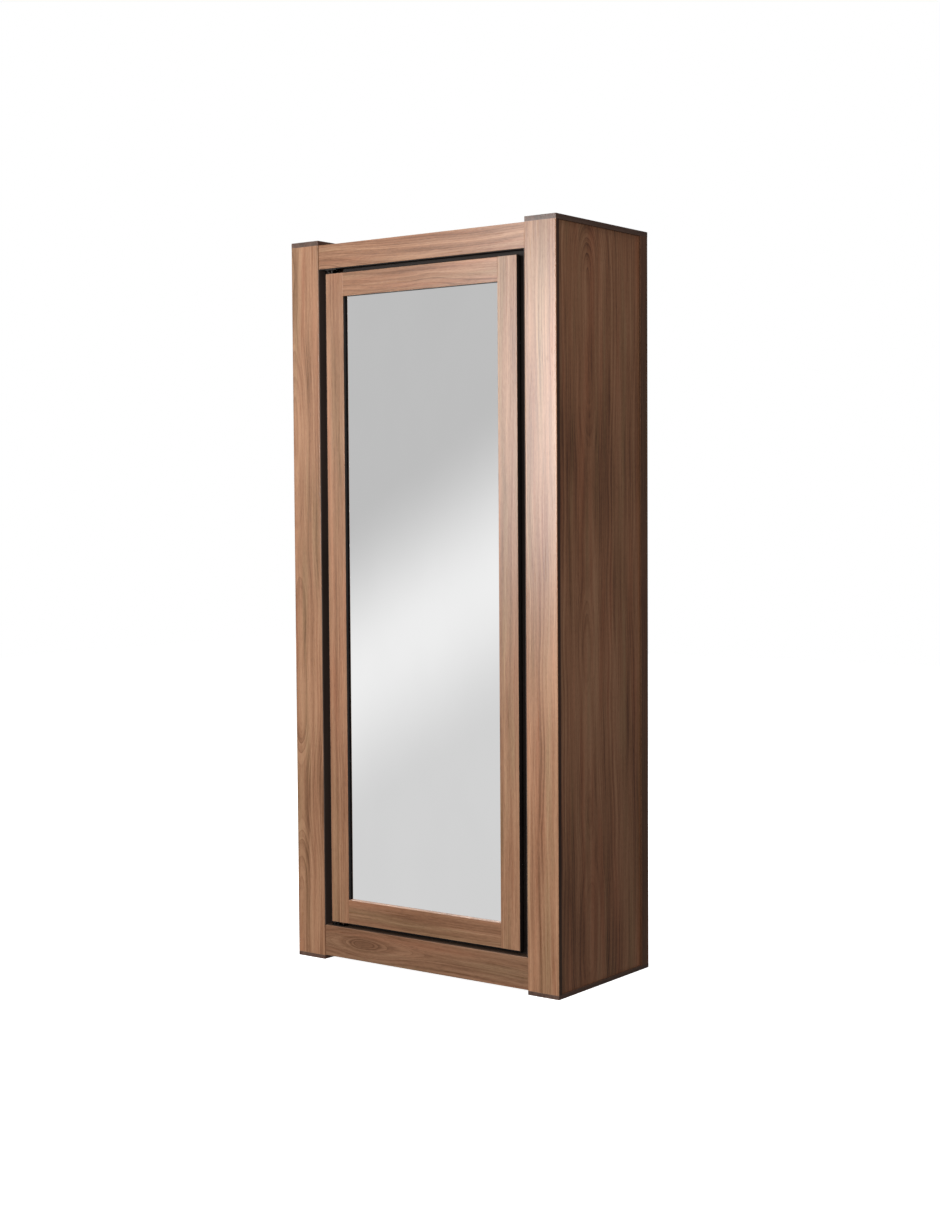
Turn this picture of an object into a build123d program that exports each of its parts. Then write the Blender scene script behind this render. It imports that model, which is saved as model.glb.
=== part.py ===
"""Floor-standing mirror cabinet.

Two hollow side columns carry a top rail and a bottom rail. A framed mirror door hangs on pivots in the opening,
with a black finger gap all round it, and closes a cupboard with one fixed and four adjustable shelves.

Millimetres. X runs to the right seen from the front, Y from the front to the back, Z up. The origin is on the
floor, in the middle of the plan.
"""

import os

from build123d import *

# Overall size
width = 800
depth = 396
height = 1800

# Side columns
column_width = 88
foot_thickness = 10
cap_thickness = 12
post_thickness = 12
post_edge_radius = 2
side_recess = 5
outer_side_thickness = 12
rear_stile_width = 32
rear_stile_thickness = 18
board_thickness = 16
edge_radius = 1

# Joints: boards let into the sides, tenons of the front rails and of the door rails, and play round fittings
housing_depth = 5
tenon_thickness = 7
rail_tenon_length = 12
rail_tenon_shoulder = 10
door_tenon_length = 20
door_tenon_shoulder = 12
fitting_play = 0.05

# Rails of the front frame
rail_setback = 3
rail_thickness = 22
top_rail_height = 59
bottom_rail_height = 77

# Back of the cupboard
back_panel_thickness = 4
back_panel_inset = 20
groove_depth = 6
groove_play = 0.1
plinth_inset = 32

# Wall fixing holes in the rear stretcher
stretcher_height = 88
wall_hole_radius = 3.25
wall_hole_spacing = 400
wall_hole_drop = 60

# Black lining of the opening, and the strips that stop the door
liner_thickness = 2
liner_setback = 1
stop_thickness = 16
right_stop_width = 36
left_stop_width = 16
top_stop_drop = 39
bottom_stop_rise = 38
level_stop_start = -252

# Door frame and its moulding
door_width = 580
door_setback = 2
door_thickness = 21
door_bottom = 99
door_top = 1716
stile_width = 56
door_top_rail = 58
door_bottom_rail = 60
band_thickness = 1
band_play = 0.2
front_lip = 8
nose = 1.5
rebate_width = 10
grip_width = 8
grip_depth = 10
lip_thickness = 1
glass_thickness = 4
glass_play = 2
glass_arris = 0.4
backing_thickness = 3
bead_width = 8
bead_play = 0.3

# Pivots of the door
pivot_inset = 16
pin_radius = 4
pin_play = 0.05
bush_radius = 6
bush_length = 20
collar_radius = 6.5
collar_play = 0.1
upper_collar_gap = 1
pin_tip_gap = 2
plate_thickness = 2.5
plate_length = 40
plate_width = 17
plate_corner = 3
plate_screw_spacing = 28
plate_screw_radius = 1.8

# Catches
magnet_radius = 6
magnet_length = 13
magnet_gap = 0.3
strike_width = 36
strike_height = 12
strike_thickness = 1.2
catch_x = 200
catch_inset = 14
bumper_radius = 3
bumper_heights = (300, 1515)

# Shelves and their fittings
shelf_front_gap = 25
shelf_play = 0.5
fixed_shelf_height = 900
adjustable_shelf_heights = (360, 630, 1180, 1460)
shelf_pin_radius = 2.5
shelf_pin_length = 17
shelf_pin_depth = 9
pin_rows_y = (-118, 138)

# Planes and edges worked out from the sizes above
half_width = width / 2
front = -depth / 2
back = depth / 2
opening_half = half_width - column_width
column_top = height - cap_thickness
opening_top = column_top - top_rail_height
opening_bottom = foot_thickness + bottom_rail_height
post_back = front + post_thickness
rail_front = front + rail_setback
rail_back = rail_front + rail_thickness
panel_back = back - back_panel_inset - back_panel_thickness
inner_side_outside = opening_half + board_thickness
top_panel_underside = column_top - board_thickness
stop_back = rail_back + stop_thickness
shelf_front = rail_back + shelf_front_gap

door_half = door_width / 2
door_front = front + door_setback
door_back = door_front + door_thickness
mirror_half = door_half - stile_width
mirror_bottom = door_bottom + door_bottom_rail
mirror_top = door_top - door_top_rail
rebate_half = mirror_half + rebate_width
glass_front = door_front + front_lip + lip_thickness
glass_back = glass_front + glass_thickness
backing_back = glass_back + backing_thickness
pivot_x = -door_half + pivot_inset
pivot_y = door_front + door_thickness / 2
strike_heights = (door_bottom + catch_inset, door_top - catch_inset)

# The face of the right column towards the opening, which holes are drilled from, with its X to the front
right_inner_face = Plane(origin=(opening_half, 0, 0), x_dir=(0, -1, 0), z_dir=(-1, 0, 0))

os.makedirs("parts", exist_ok=True)


def save(piece, label):
    """Name one finished piece and write it to its own file."""
    piece.label = label
    export_step(piece, f"parts/{label}.step")


def save_pair(right_piece, label):
    """Write a piece of the right column, and the same piece mirrored for the left one."""
    with BuildPart() as left_piece:
        mirror(right_piece, about=Plane.YZ)
    save(right_piece, f"right_{label}")
    save(left_piece.part, f"left_{label}")


def upright_board(x_low, x_high, y_low, y_high, z_low, z_high):
    """A plain board, drawn in plan and raised from z_low to z_high."""
    with BuildPart() as board:
        with BuildSketch(Plane.XY.offset(z_low)):
            with Locations(((x_low + x_high) / 2, (y_low + y_high) / 2)):
                Rectangle(x_high - x_low, y_high - y_low)
        extrude(amount=z_high - z_low)
    return board.part


# Side columns

def front_post():
    """The broad board at the front of a column, with its two upright front edges rounded."""
    with BuildPart() as post:
        with BuildSketch(Plane.XY.offset(foot_thickness)) as plan:
            with Locations((opening_half + column_width / 2, front + post_thickness / 2)):
                Rectangle(column_width, post_thickness)
            fillet(plan.vertices().group_by(Axis.Y)[0], post_edge_radius)
        extrude(amount=column_top - foot_thickness)
    return post.part


def end_plate(z_low, thickness):
    """A foot or cap plate over the whole plan of a column, with its corners and top edges eased."""
    with BuildPart() as plate:
        with BuildSketch(Plane.XY.offset(z_low)) as plan:
            with Locations((opening_half + column_width / 2, 0)):
                Rectangle(column_width, depth)
            chamfer(plan.vertices(), edge_radius)
        extrude(amount=thickness)
        chamfer(plate.faces().sort_by(Axis.Z)[-1].edges(), edge_radius / 2)
    return plate.part


def outer_side():
    """The side panel, set back behind the post's edge and the rear stile."""
    outer_face = half_width - side_recess
    return upright_board(
        outer_face - outer_side_thickness, outer_face,
        post_back, back - rear_stile_width,
        foot_thickness, column_top,
    )


def rear_stile():
    """The upright at the back edge of the side, proud of the side panel, with its outer edges rounded."""
    with BuildPart() as stile:
        with BuildSketch(Plane.XY.offset(foot_thickness)) as plan:
            with Locations((half_width - rear_stile_thickness / 2, back - rear_stile_width / 2)):
                Rectangle(rear_stile_thickness, rear_stile_width)
            fillet(plan.vertices().group_by(Axis.X)[-1], post_edge_radius)
        extrude(amount=column_top - foot_thickness)
    return stile.part


def rear_board():
    """The board that closes the back of a column."""
    return upright_board(
        opening_half, half_width - rear_stile_thickness,
        back - board_thickness, back,
        foot_thickness, column_top,
    )


def housed_boards():
    """The lower face and the front edge of each board that is let into the sides."""
    return (
        (opening_bottom - board_thickness, rail_back),
        (fixed_shelf_height - board_thickness / 2, shelf_front),
        (top_panel_underside, rail_back),
    )


def shelf_pin_points():
    """Places of the shelf pins on one side, as (Y, Z)."""
    seats = [middle - board_thickness / 2 - shelf_pin_radius for middle in adjustable_shelf_heights]
    return [(y, z) for z in seats for y in pin_rows_y]


def inner_side():
    """The wall of the cupboard, grooved for the back panels, housed for the boards and rails, drilled for pins."""
    with BuildPart() as side:
        with BuildSketch(Plane.XY.offset(foot_thickness)):
            with Locations(((opening_half + inner_side_outside) / 2, (post_back + back - board_thickness) / 2)):
                Rectangle(board_thickness, back - board_thickness - post_back)
            with Locations((opening_half + groove_depth / 2, panel_back + back_panel_thickness / 2)):
                Rectangle(groove_depth, back_panel_thickness + groove_play, mode=Mode.SUBTRACT)
        extrude(amount=column_top - foot_thickness)
        with BuildSketch(right_inner_face):
            for z_low, y_low in housed_boards():
                with Locations((-(y_low + panel_back) / 2, z_low + board_thickness / 2)):
                    Rectangle(panel_back - y_low, board_thickness)
        extrude(amount=-housing_depth, mode=Mode.SUBTRACT)
        with BuildSketch(right_inner_face):
            for z_low, z_high in ((foot_thickness, opening_bottom), (opening_top, column_top)):
                with Locations((-(post_back + rail_back) / 2, (z_low + z_high) / 2)):
                    Rectangle(tenon_thickness, z_high - z_low - 2 * rail_tenon_shoulder)
        extrude(amount=-rail_tenon_length, mode=Mode.SUBTRACT)
        with Locations(right_inner_face):
            with Locations(*[(-y, z) for y, z in shelf_pin_points()]):
                Hole(shelf_pin_radius + fitting_play, shelf_pin_depth)
    return side.part


# Rails, panels and back

def front_rail(z_low, z_high):
    """A rail between the columns, with rounded front edges and a tenon at each end."""
    with BuildPart() as rail:
        with BuildSketch(Plane.YZ.offset(-opening_half)) as section:
            with Locations(((rail_front + rail_back) / 2, (z_low + z_high) / 2)):
                Rectangle(rail_thickness, z_high - z_low)
            fillet(section.vertices().group_by(Axis.X)[0], edge_radius)
        extrude(amount=2 * opening_half)
        with BuildSketch(Plane.YZ.offset(-opening_half - rail_tenon_length)):
            with Locations(((post_back + rail_back) / 2, (z_low + z_high) / 2)):
                Rectangle(tenon_thickness, z_high - z_low - 2 * rail_tenon_shoulder)
        extrude(amount=2 * (opening_half + rail_tenon_length))
    return rail.part


def housed_board(z_low, y_low):
    """A level board whose ends are let into the sides."""
    reach = opening_half + housing_depth
    return upright_board(-reach, reach, y_low, panel_back, z_low, z_low + board_thickness)


def adjustable_shelf(middle):
    """A loose shelf with a rounded front edge, resting on four pins."""
    with BuildPart() as shelf:
        with BuildSketch(Plane.YZ.offset(-opening_half + shelf_play)) as section:
            with Locations(((shelf_front + panel_back) / 2, middle)):
                Rectangle(panel_back - shelf_front, board_thickness)
            fillet(section.vertices().group_by(Axis.X)[0], edge_radius)
        extrude(amount=2 * (opening_half - shelf_play))
    return shelf.part


def wall_holes_plane(y):
    """The upright plane at depth y that the wall holes start from, centred between them, with its X to the right."""
    return Plane(origin=(0, y, column_top - wall_hole_drop), x_dir=(1, 0, 0), z_dir=(0, -1, 0))


def back_panel(z_low, z_high, holes):
    """A thin panel that stands in the grooves of the sides, with the holes for the wall screws in the upper one."""
    with BuildPart() as panel:
        with BuildSketch(Plane.XY.offset(z_low)):
            with Locations((0, panel_back + back_panel_thickness / 2)):
                Rectangle(2 * (opening_half + groove_depth - shelf_play), back_panel_thickness)
        extrude(amount=z_high - z_low)
        if holes:
            with Locations(wall_holes_plane(panel_back)):
                with GridLocations(wall_hole_spacing, 0, 2, 1):
                    Hole(wall_hole_radius, back_panel_thickness)
    return panel.part


def rear_stretcher():
    """The stiff rail behind the upper back panel, flush with the back of the columns, for the wall screws."""
    stretcher_front = back - back_panel_inset
    with BuildPart() as stretcher:
        with BuildSketch(Plane.YZ.offset(-opening_half)):
            with Locations(((stretcher_front + back) / 2, column_top - stretcher_height / 2)):
                Rectangle(back - stretcher_front, stretcher_height)
        extrude(amount=2 * opening_half)
        with Locations(wall_holes_plane(stretcher_front)):
            with GridLocations(wall_hole_spacing, 0, 2, 1):
                Hole(wall_hole_radius, back - stretcher_front)
    return stretcher.part


# Lining and stops of the opening

def side_liner():
    """The black lining on the inner edge of a column."""
    return upright_board(
        opening_half - liner_thickness, opening_half,
        front + liner_setback, rail_back,
        opening_bottom, opening_top,
    )


def level_liner(z_low):
    """The black lining on the edge of a rail, with a hole for the foot of the pivot pin."""
    with BuildPart() as liner:
        with BuildSketch(Plane.XY.offset(z_low)):
            with Locations((0, (rail_front + liner_setback + rail_back) / 2)):
                Rectangle(2 * (opening_half - liner_thickness), rail_thickness - liner_setback)
            with Locations((pivot_x, pivot_y)):
                Circle(pin_radius + fitting_play, mode=Mode.SUBTRACT)
        extrude(amount=liner_thickness)
    return liner.part


def stop_strip(x_low, x_high, z_low, z_high, magnet_height=None):
    """A black strip behind the edge of the door, bored for a magnetic catch where magnet_height is given."""
    with BuildPart() as strip:
        with BuildSketch(Plane.XY.offset(z_low)):
            with Locations(((x_low + x_high) / 2, (rail_back + stop_back) / 2)):
                Rectangle(x_high - x_low, stop_thickness)
        extrude(amount=z_high - z_low)
        if magnet_height is not None:
            with Locations(Plane(origin=(catch_x, rail_back, magnet_height), z_dir=(0, -1, 0))):
                Hole(magnet_radius + fitting_play, magnet_length - (rail_back - door_back - magnet_gap))
    return strip.part


# Door frame

def moulding(start, piece_width, length, grip=False):
    """One length of the door frame's moulding.

    The section is drawn on the plane start, whose X runs from the outer edge of the door towards the glass and
    whose Y runs from the front to the back. Behind the front lip the rebate takes the glass and its backing.
    With grip, the outer edge has a second rebate at the back, which the fingers pull on.
    """
    outside = band_thickness
    with BuildPart() as bar:
        with BuildSketch(start) as section:
            with BuildLine():
                Polyline(
                    (outside, 0),
                    (piece_width, 0),
                    (piece_width, front_lip),
                    (piece_width - rebate_width, front_lip),
                    (piece_width - rebate_width, door_thickness),
                    (outside, door_thickness),
                    close=True,
                )
            make_face()
            if grip:
                with Locations((grip_width / 2, door_thickness - grip_depth / 2)):
                    Rectangle(grip_width, grip_depth, mode=Mode.SUBTRACT)
            fillet(section.vertices().group_by(Axis.Y)[0], edge_radius)
        extrude(amount=length)
    return bar.part


def lip_housing():
    """The room that the black lip takes out of the frame, as a solid to cut with."""
    with BuildPart() as housing:
        with BuildSketch(Plane.XZ.offset(-door_front - front_lip)):
            with Locations((0, (mirror_bottom + mirror_top) / 2)):
                Rectangle(
                    2 * (mirror_half + lip_thickness),
                    mirror_top - mirror_bottom + 2 * lip_thickness,
                )
        extrude(amount=front_lip - nose)
    return housing.part


def door_tenon_span(top):
    """Lowest and highest point of the tenons of the door's top or bottom rail."""
    if top:
        return door_top - door_top_rail + door_tenon_shoulder, door_top - door_tenon_shoulder
    return door_bottom + door_tenon_shoulder, door_bottom + door_bottom_rail - door_tenon_shoulder


def door_stile(side, grip):
    """A stile over the full height of the door, on the right (side 1) or on the left (side -1)."""
    start = Plane(
        origin=(side * door_half, door_front, door_top - band_thickness if side > 0 else door_bottom + band_thickness),
        x_dir=(-side, 0, 0),
        z_dir=(0, 0, -side),
    )
    bar = moulding(start, stile_width, door_top - door_bottom - 2 * band_thickness, grip)
    housing = lip_housing()
    with BuildPart() as stile:
        add(bar)
        add(housing, mode=Mode.SUBTRACT)
        with BuildSketch(Plane(origin=(side * rebate_half, pivot_y, 0), x_dir=(0, side, 0), z_dir=(side, 0, 0))):
            for low, high in (door_tenon_span(False), door_tenon_span(True)):
                with Locations((0, (low + high) / 2)):
                    Rectangle(tenon_thickness, high - low)
        extrude(amount=door_tenon_length, mode=Mode.SUBTRACT)
        if side < 0:
            with Locations((pivot_x, pivot_y, door_bottom), (pivot_x, pivot_y, door_top)):
                Cylinder(bush_radius + fitting_play, 2 * bush_length, mode=Mode.SUBTRACT)
    return stile.part


def door_rail(top):
    """A rail between the stiles, whose ends are cut to sit over the stiles' rebate."""
    rail_width = door_top_rail if top else door_bottom_rail
    outer_edge = door_top if top else door_bottom
    inward = -1 if top else 1
    start = Plane(
        origin=(inward * rebate_half, door_front, outer_edge),
        x_dir=(0, 0, inward),
        z_dir=(-inward, 0, 0),
    )
    bar = moulding(start, rail_width, 2 * rebate_half)
    housing = lip_housing()
    with BuildPart() as rail:
        add(bar)
        with Locations(*[
            (side * (mirror_half + rebate_width / 2), door_front + front_lip / 2, outer_edge + inward * rail_width / 2)
            for side in (-1, 1)
        ]):
            Box(rebate_width, front_lip, rail_width, mode=Mode.SUBTRACT)
        add(housing, mode=Mode.SUBTRACT)
        low, high = door_tenon_span(top)
        for side in (-1, 1):
            with BuildSketch(Plane(origin=(side * rebate_half, pivot_y, 0), x_dir=(0, side, 0), z_dir=(side, 0, 0))):
                with Locations((0, (low + high) / 2)):
                    Rectangle(tenon_thickness, high - low)
            extrude(amount=door_tenon_length)
        with BuildSketch(Plane.XZ.offset(-door_back)):
            with Locations((catch_x, outer_edge + inward * catch_inset)):
                Rectangle(strike_width + fitting_play, strike_height + fitting_play)
        extrude(amount=strike_thickness, mode=Mode.SUBTRACT)
    return rail.part


# Trim, glass and backing of the door

def edge_bands():
    """Black bands on the four outer edges of the door, the right one as deep as the grip leaves."""
    with BuildPart() as bands:
        with BuildSketch(Plane.XY.offset(door_bottom)):
            with Locations((-door_half + band_thickness / 2, (door_front + door_back) / 2)):
                Rectangle(band_thickness, door_thickness)
            with Locations((door_half - band_thickness / 2, (door_front + door_back - grip_depth) / 2)):
                Rectangle(band_thickness, door_thickness - grip_depth)
        extrude(amount=door_top - door_bottom)
        for z_low in (door_bottom, door_top - band_thickness):
            with BuildSketch(Plane.XY.offset(z_low)):
                with Locations((0, (door_front + door_back) / 2)):
                    Rectangle(2 * (door_half - band_thickness - band_play), door_thickness)
                with Locations((door_half - grip_width / 2, door_back - grip_depth / 2)):
                    Rectangle(grip_width, grip_depth, mode=Mode.SUBTRACT)
                with Locations((pivot_x, pivot_y)):
                    Circle(bush_radius + fitting_play, mode=Mode.SUBTRACT)
            extrude(amount=band_thickness)
    return bands.part


def mirror_lip():
    """The black angle trim between frame and glass: a leg that lines the lip, and a flange that the glass meets."""
    middle = (mirror_bottom + mirror_top) / 2
    opening_height = mirror_top - mirror_bottom
    flange_reach = rebate_width - shelf_play
    with BuildPart() as lip:
        with BuildSketch(Plane.XZ.offset(-door_front - front_lip)):
            with Locations((0, middle)):
                Rectangle(2 * (mirror_half + lip_thickness), opening_height + 2 * lip_thickness)
                Rectangle(2 * mirror_half, opening_height, mode=Mode.SUBTRACT)
        extrude(amount=front_lip - nose)
        with BuildSketch(Plane.XZ.offset(-glass_front)):
            with Locations((0, middle)):
                Rectangle(2 * (mirror_half + flange_reach), opening_height + 2 * flange_reach)
                Rectangle(2 * mirror_half, opening_height, mode=Mode.SUBTRACT)
        extrude(amount=lip_thickness)
    return lip.part


def rebate_sheet(y_back, thickness):
    """A sheet that fills the frame's rebate from y_back forwards, with play at its edges."""
    reach = rebate_width - glass_play
    with BuildPart() as sheet:
        with BuildSketch(Plane.XZ.offset(-y_back)):
            with Locations((0, (mirror_bottom + mirror_top) / 2)):
                Rectangle(2 * (mirror_half + reach), mirror_top - mirror_bottom + 2 * reach)
        extrude(amount=thickness)
    return sheet.part


def mirror_glass():
    """The mirror, with its edges ground to a small bevel."""
    sheet = rebate_sheet(glass_back, glass_thickness)
    with BuildPart() as glass:
        add(sheet)
        chamfer(glass.edges(), glass_arris)
    return glass.part


def backing_beads():
    """Four beads behind the backing board, flush with the back of the frame."""
    reach = rebate_half - bead_play
    low = mirror_bottom - rebate_width + bead_play
    high = mirror_top + rebate_width - bead_play
    level_reach = reach - bead_width - bead_play
    with BuildPart() as beads:
        with BuildSketch(Plane.XZ.offset(-door_back)):
            for side in (-1, 1):
                with Locations((side * (reach - bead_width / 2), (low + high) / 2)):
                    Rectangle(bead_width, high - low)
            for z in (low + bead_width / 2, high - bead_width / 2):
                with Locations((0, z)):
                    Rectangle(2 * level_reach, bead_width)
        extrude(amount=door_back - backing_back)
        chamfer(beads.faces().sort_by(Axis.Y)[-4:].edges(), edge_radius)
    return beads.part


def strike_plates():
    """Steel plates let into the back of the door, which the magnets hold."""
    with BuildPart() as plates:
        with BuildSketch(Plane.XZ.offset(-door_back)):
            with Locations(*[(catch_x, z) for z in strike_heights]):
                Rectangle(strike_width, strike_height)
        extrude(amount=strike_thickness)
    return plates.part


# Pivots

def pivot_bush(mouth, into_door):
    """A blind sleeve in the end of the hinge stile, open at its mouth."""
    far_end = mouth + into_door * bush_length
    with BuildPart() as bush:
        with BuildSketch(Plane.XY.offset(min(mouth, far_end))):
            with Locations((pivot_x, pivot_y)):
                Circle(bush_radius)
        extrude(amount=bush_length)
        with Locations(Plane(origin=(pivot_x, pivot_y, mouth), x_dir=(1, 0, 0), z_dir=(0, 0, -into_door))):
            Hole(pin_radius + pin_play, bush_length - edge_radius)
    return bush.part


def pivot_plate(liner_face, towards_door):
    """A steel plate on the lining with clipped corners, a hole for the pin and one for a screw on either side."""
    door_face = liner_face + towards_door * plate_thickness
    with BuildPart() as plate:
        with BuildSketch(Plane.XY.offset(min(liner_face, door_face))) as plan:
            with Locations((pivot_x, pivot_y)):
                Rectangle(plate_length, plate_width)
            chamfer(plan.vertices(), plate_corner)
            with Locations((pivot_x, pivot_y)):
                Circle(pin_radius + fitting_play, mode=Mode.SUBTRACT)
                with GridLocations(plate_screw_spacing, 0, 2, 1):
                    Circle(plate_screw_radius, mode=Mode.SUBTRACT)
        extrude(amount=plate_thickness)
    return plate.part


def pivot_pin(rail_face, collar_start, collar_end, tip):
    """A pin that stands in the plate, with a collar towards the door, turned in one piece."""
    upright = Plane(origin=(pivot_x, pivot_y, 0), x_dir=(1, 0, 0), z_dir=(0, -1, 0))
    with BuildPart() as pin:
        with BuildSketch(upright):
            with BuildLine():
                Polyline(
                    (0, rail_face),
                    (pin_radius, rail_face),
                    (pin_radius, collar_start),
                    (collar_radius, collar_start),
                    (collar_radius, collar_end),
                    (pin_radius, collar_end),
                    (pin_radius, tip),
                    (0, tip),
                    close=True,
                )
            make_face()
        revolve(axis=Axis((pivot_x, pivot_y, 0), (0, 0, 1)))
    return pin.part


# Catches and shelf pins

def catch_magnets():
    """Round magnets in the top and bottom stop strips, just short of the strike plates."""
    magnet_front = door_back + magnet_gap
    with BuildPart() as magnets:
        with Locations(*[(catch_x, magnet_front + magnet_length / 2, z) for z in strike_heights]):
            Cylinder(magnet_radius, magnet_length, rotation=(90, 0, 0))
    return magnets.part


def door_bumpers():
    """Soft discs on the right stop strip, which the closed door almost touches."""
    thickness = rail_back - door_back - magnet_gap
    bumper_x = opening_half - right_stop_width + bumper_radius
    with BuildPart() as bumpers:
        with Locations(*[(bumper_x, rail_back - thickness / 2, z) for z in bumper_heights]):
            Cylinder(bumper_radius, thickness, rotation=(90, 0, 0))
    return bumpers.part


def shelf_pins():
    """Steel pins under the adjustable shelves."""
    middle = opening_half + shelf_pin_depth - shelf_pin_length / 2
    with BuildPart() as pins:
        with Locations(*[(side * middle, y, z) for side in (-1, 1) for y, z in shelf_pin_points()]):
            Cylinder(shelf_pin_radius, shelf_pin_length - shelf_play, rotation=(0, 90, 0))
    return pins.part


# Write the side columns
save_pair(front_post(), "front_post")
save_pair(outer_side(), "outer_side")
save_pair(inner_side(), "inner_side")
save_pair(rear_stile(), "rear_stile")
save_pair(rear_board(), "rear_board")
save_pair(end_plate(0, foot_thickness), "foot_plate")
save_pair(end_plate(column_top, cap_thickness), "cap_plate")

# Write the front rails, the panels and the back
save(front_rail(opening_top, column_top), "top_rail")
save(front_rail(foot_thickness, opening_bottom), "bottom_rail")
for label, (z_low, y_low) in zip(("bottom_panel", "fixed_shelf", "top_panel"), housed_boards()):
    save(housed_board(z_low, y_low), label)
for number, middle in enumerate(adjustable_shelf_heights, start=1):
    save(adjustable_shelf(middle), f"adjustable_shelf_{number}")
save(back_panel(opening_bottom - board_thickness, fixed_shelf_height, False), "lower_back_panel")
save(back_panel(fixed_shelf_height, column_top, True), "upper_back_panel")
save(rear_stretcher(), "rear_stretcher")
save(
    upright_board(
        -opening_half, opening_half,
        back - plinth_inset - board_thickness, back - plinth_inset,
        foot_thickness, opening_bottom - board_thickness,
    ),
    "rear_plinth",
)

# Write the lining and the stops
save_pair(side_liner(), "reveal_liner")
save(level_liner(opening_top - liner_thickness), "top_reveal_liner")
save(level_liner(opening_bottom), "bottom_reveal_liner")
right_stop_start = opening_half - right_stop_width
save(
    stop_strip(right_stop_start, opening_half, opening_bottom, top_panel_underside),
    "right_stop_strip",
)
save(
    stop_strip(-opening_half, left_stop_width - opening_half, opening_bottom, top_panel_underside),
    "left_stop_strip",
)
save(
    stop_strip(
        level_stop_start, right_stop_start,
        opening_top - top_stop_drop, top_panel_underside,
        magnet_height=strike_heights[1],
    ),
    "top_stop_strip",
)
save(
    stop_strip(
        level_stop_start, right_stop_start,
        opening_bottom, opening_bottom + bottom_stop_rise,
        magnet_height=strike_heights[0],
    ),
    "bottom_stop_strip",
)

# Write the door
save(door_stile(-1, False), "left_door_stile")
save(door_stile(1, True), "right_door_stile")
save(door_rail(True), "top_door_rail")
save(door_rail(False), "bottom_door_rail")
save(edge_bands(), "door_edge_bands")
save(mirror_lip(), "mirror_lip")
save(mirror_glass(), "mirror_glass")
save(rebate_sheet(backing_back, backing_thickness), "mirror_backing")
save(backing_beads(), "backing_beads")
save(strike_plates(), "strike_plates")

# Write the pivots
lower_liner_face = opening_bottom + liner_thickness
upper_liner_face = opening_top - liner_thickness
save(pivot_bush(door_bottom, 1), "lower_pivot_bush")
save(pivot_bush(door_top, -1), "upper_pivot_bush")
save(pivot_plate(lower_liner_face, 1), "lower_pivot_plate")
save(pivot_plate(upper_liner_face, -1), "upper_pivot_plate")
save(
    pivot_pin(
        opening_bottom,
        lower_liner_face + plate_thickness,
        door_bottom - collar_play,
        door_bottom + bush_length - pin_tip_gap,
    ),
    "lower_pivot_pin",
)
save(
    pivot_pin(
        opening_top,
        upper_liner_face - plate_thickness,
        door_top + upper_collar_gap,
        door_top - bush_length + pin_tip_gap,
    ),
    "upper_pivot_pin",
)

# Write the small fittings of the carcase
save(catch_magnets(), "catch_magnets")
save(door_bumpers(), "door_bumpers")
save(shelf_pins(), "shelf_pins")
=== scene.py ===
"""Looks of the floor-standing mirror cabinet.

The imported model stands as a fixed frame, in metres: X runs to the right seen from the front,
Y from the front to the back, Z up. Each class dresses one sub-assembly and makes the small
fittings that the model leaves out.
"""

import logging
import math
import random
from abc import ABC, abstractmethod
from collections.abc import Iterator, Sequence
from dataclasses import dataclass, field, replace
from enum import Enum

import bmesh
import bpy
from mathutils import Matrix, Vector


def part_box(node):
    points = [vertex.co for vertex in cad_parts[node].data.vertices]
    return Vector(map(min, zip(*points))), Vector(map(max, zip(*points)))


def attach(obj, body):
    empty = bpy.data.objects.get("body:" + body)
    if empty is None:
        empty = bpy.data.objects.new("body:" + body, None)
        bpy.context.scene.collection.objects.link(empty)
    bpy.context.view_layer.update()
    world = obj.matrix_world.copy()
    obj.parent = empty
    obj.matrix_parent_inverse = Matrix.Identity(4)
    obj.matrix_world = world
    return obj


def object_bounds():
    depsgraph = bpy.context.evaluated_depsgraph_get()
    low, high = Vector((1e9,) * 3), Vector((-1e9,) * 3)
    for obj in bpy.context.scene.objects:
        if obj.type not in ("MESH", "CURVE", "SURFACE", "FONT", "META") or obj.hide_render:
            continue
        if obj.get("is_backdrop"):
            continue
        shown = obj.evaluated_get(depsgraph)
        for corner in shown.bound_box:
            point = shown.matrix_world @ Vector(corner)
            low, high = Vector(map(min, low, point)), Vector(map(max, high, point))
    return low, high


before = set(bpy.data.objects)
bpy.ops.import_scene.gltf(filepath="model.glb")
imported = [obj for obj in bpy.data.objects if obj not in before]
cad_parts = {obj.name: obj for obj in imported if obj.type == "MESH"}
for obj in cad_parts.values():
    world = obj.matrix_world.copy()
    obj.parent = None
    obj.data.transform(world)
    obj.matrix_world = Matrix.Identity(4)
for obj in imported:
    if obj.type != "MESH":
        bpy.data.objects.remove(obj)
modelled_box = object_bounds()

LOG = logging.getLogger("mirror_cabinet")
MILLIMETRE = 0.001
WELD_REACH = 0.01 * MILLIMETRE
SAWN_ANGLE = math.radians(35)
CREASE_ANGLE = math.radians(32)

Colour = tuple[float, float, float]
Box = tuple[Vector, Vector]
Socket = bpy.types.NodeSocket


class Body(Enum):
    """The bodies that pieces ride on."""

    CABINET = "cabinet"
    DOOR = "door"


class Side(Enum):
    """The two sides of the cabinet, seen from the front."""

    LEFT = "left"
    RIGHT = "right"


class EndPlate(Enum):
    """The plates at the two ends of a column."""

    FOOT = "foot"
    CAP = "cap"


class Edge(Enum):
    """The edges of the door's opening."""

    LEFT = "left"
    RIGHT = "right"
    TOP = "top"
    BOTTOM = "bottom"


class Level(Enum):
    """The two ends of the door's pivot line."""

    LOWER = "lower"
    UPPER = "upper"


class Axis(Enum):
    """An axis of the cabinet, by its place in a point."""

    X = 0
    Y = 1
    Z = 2


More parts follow.
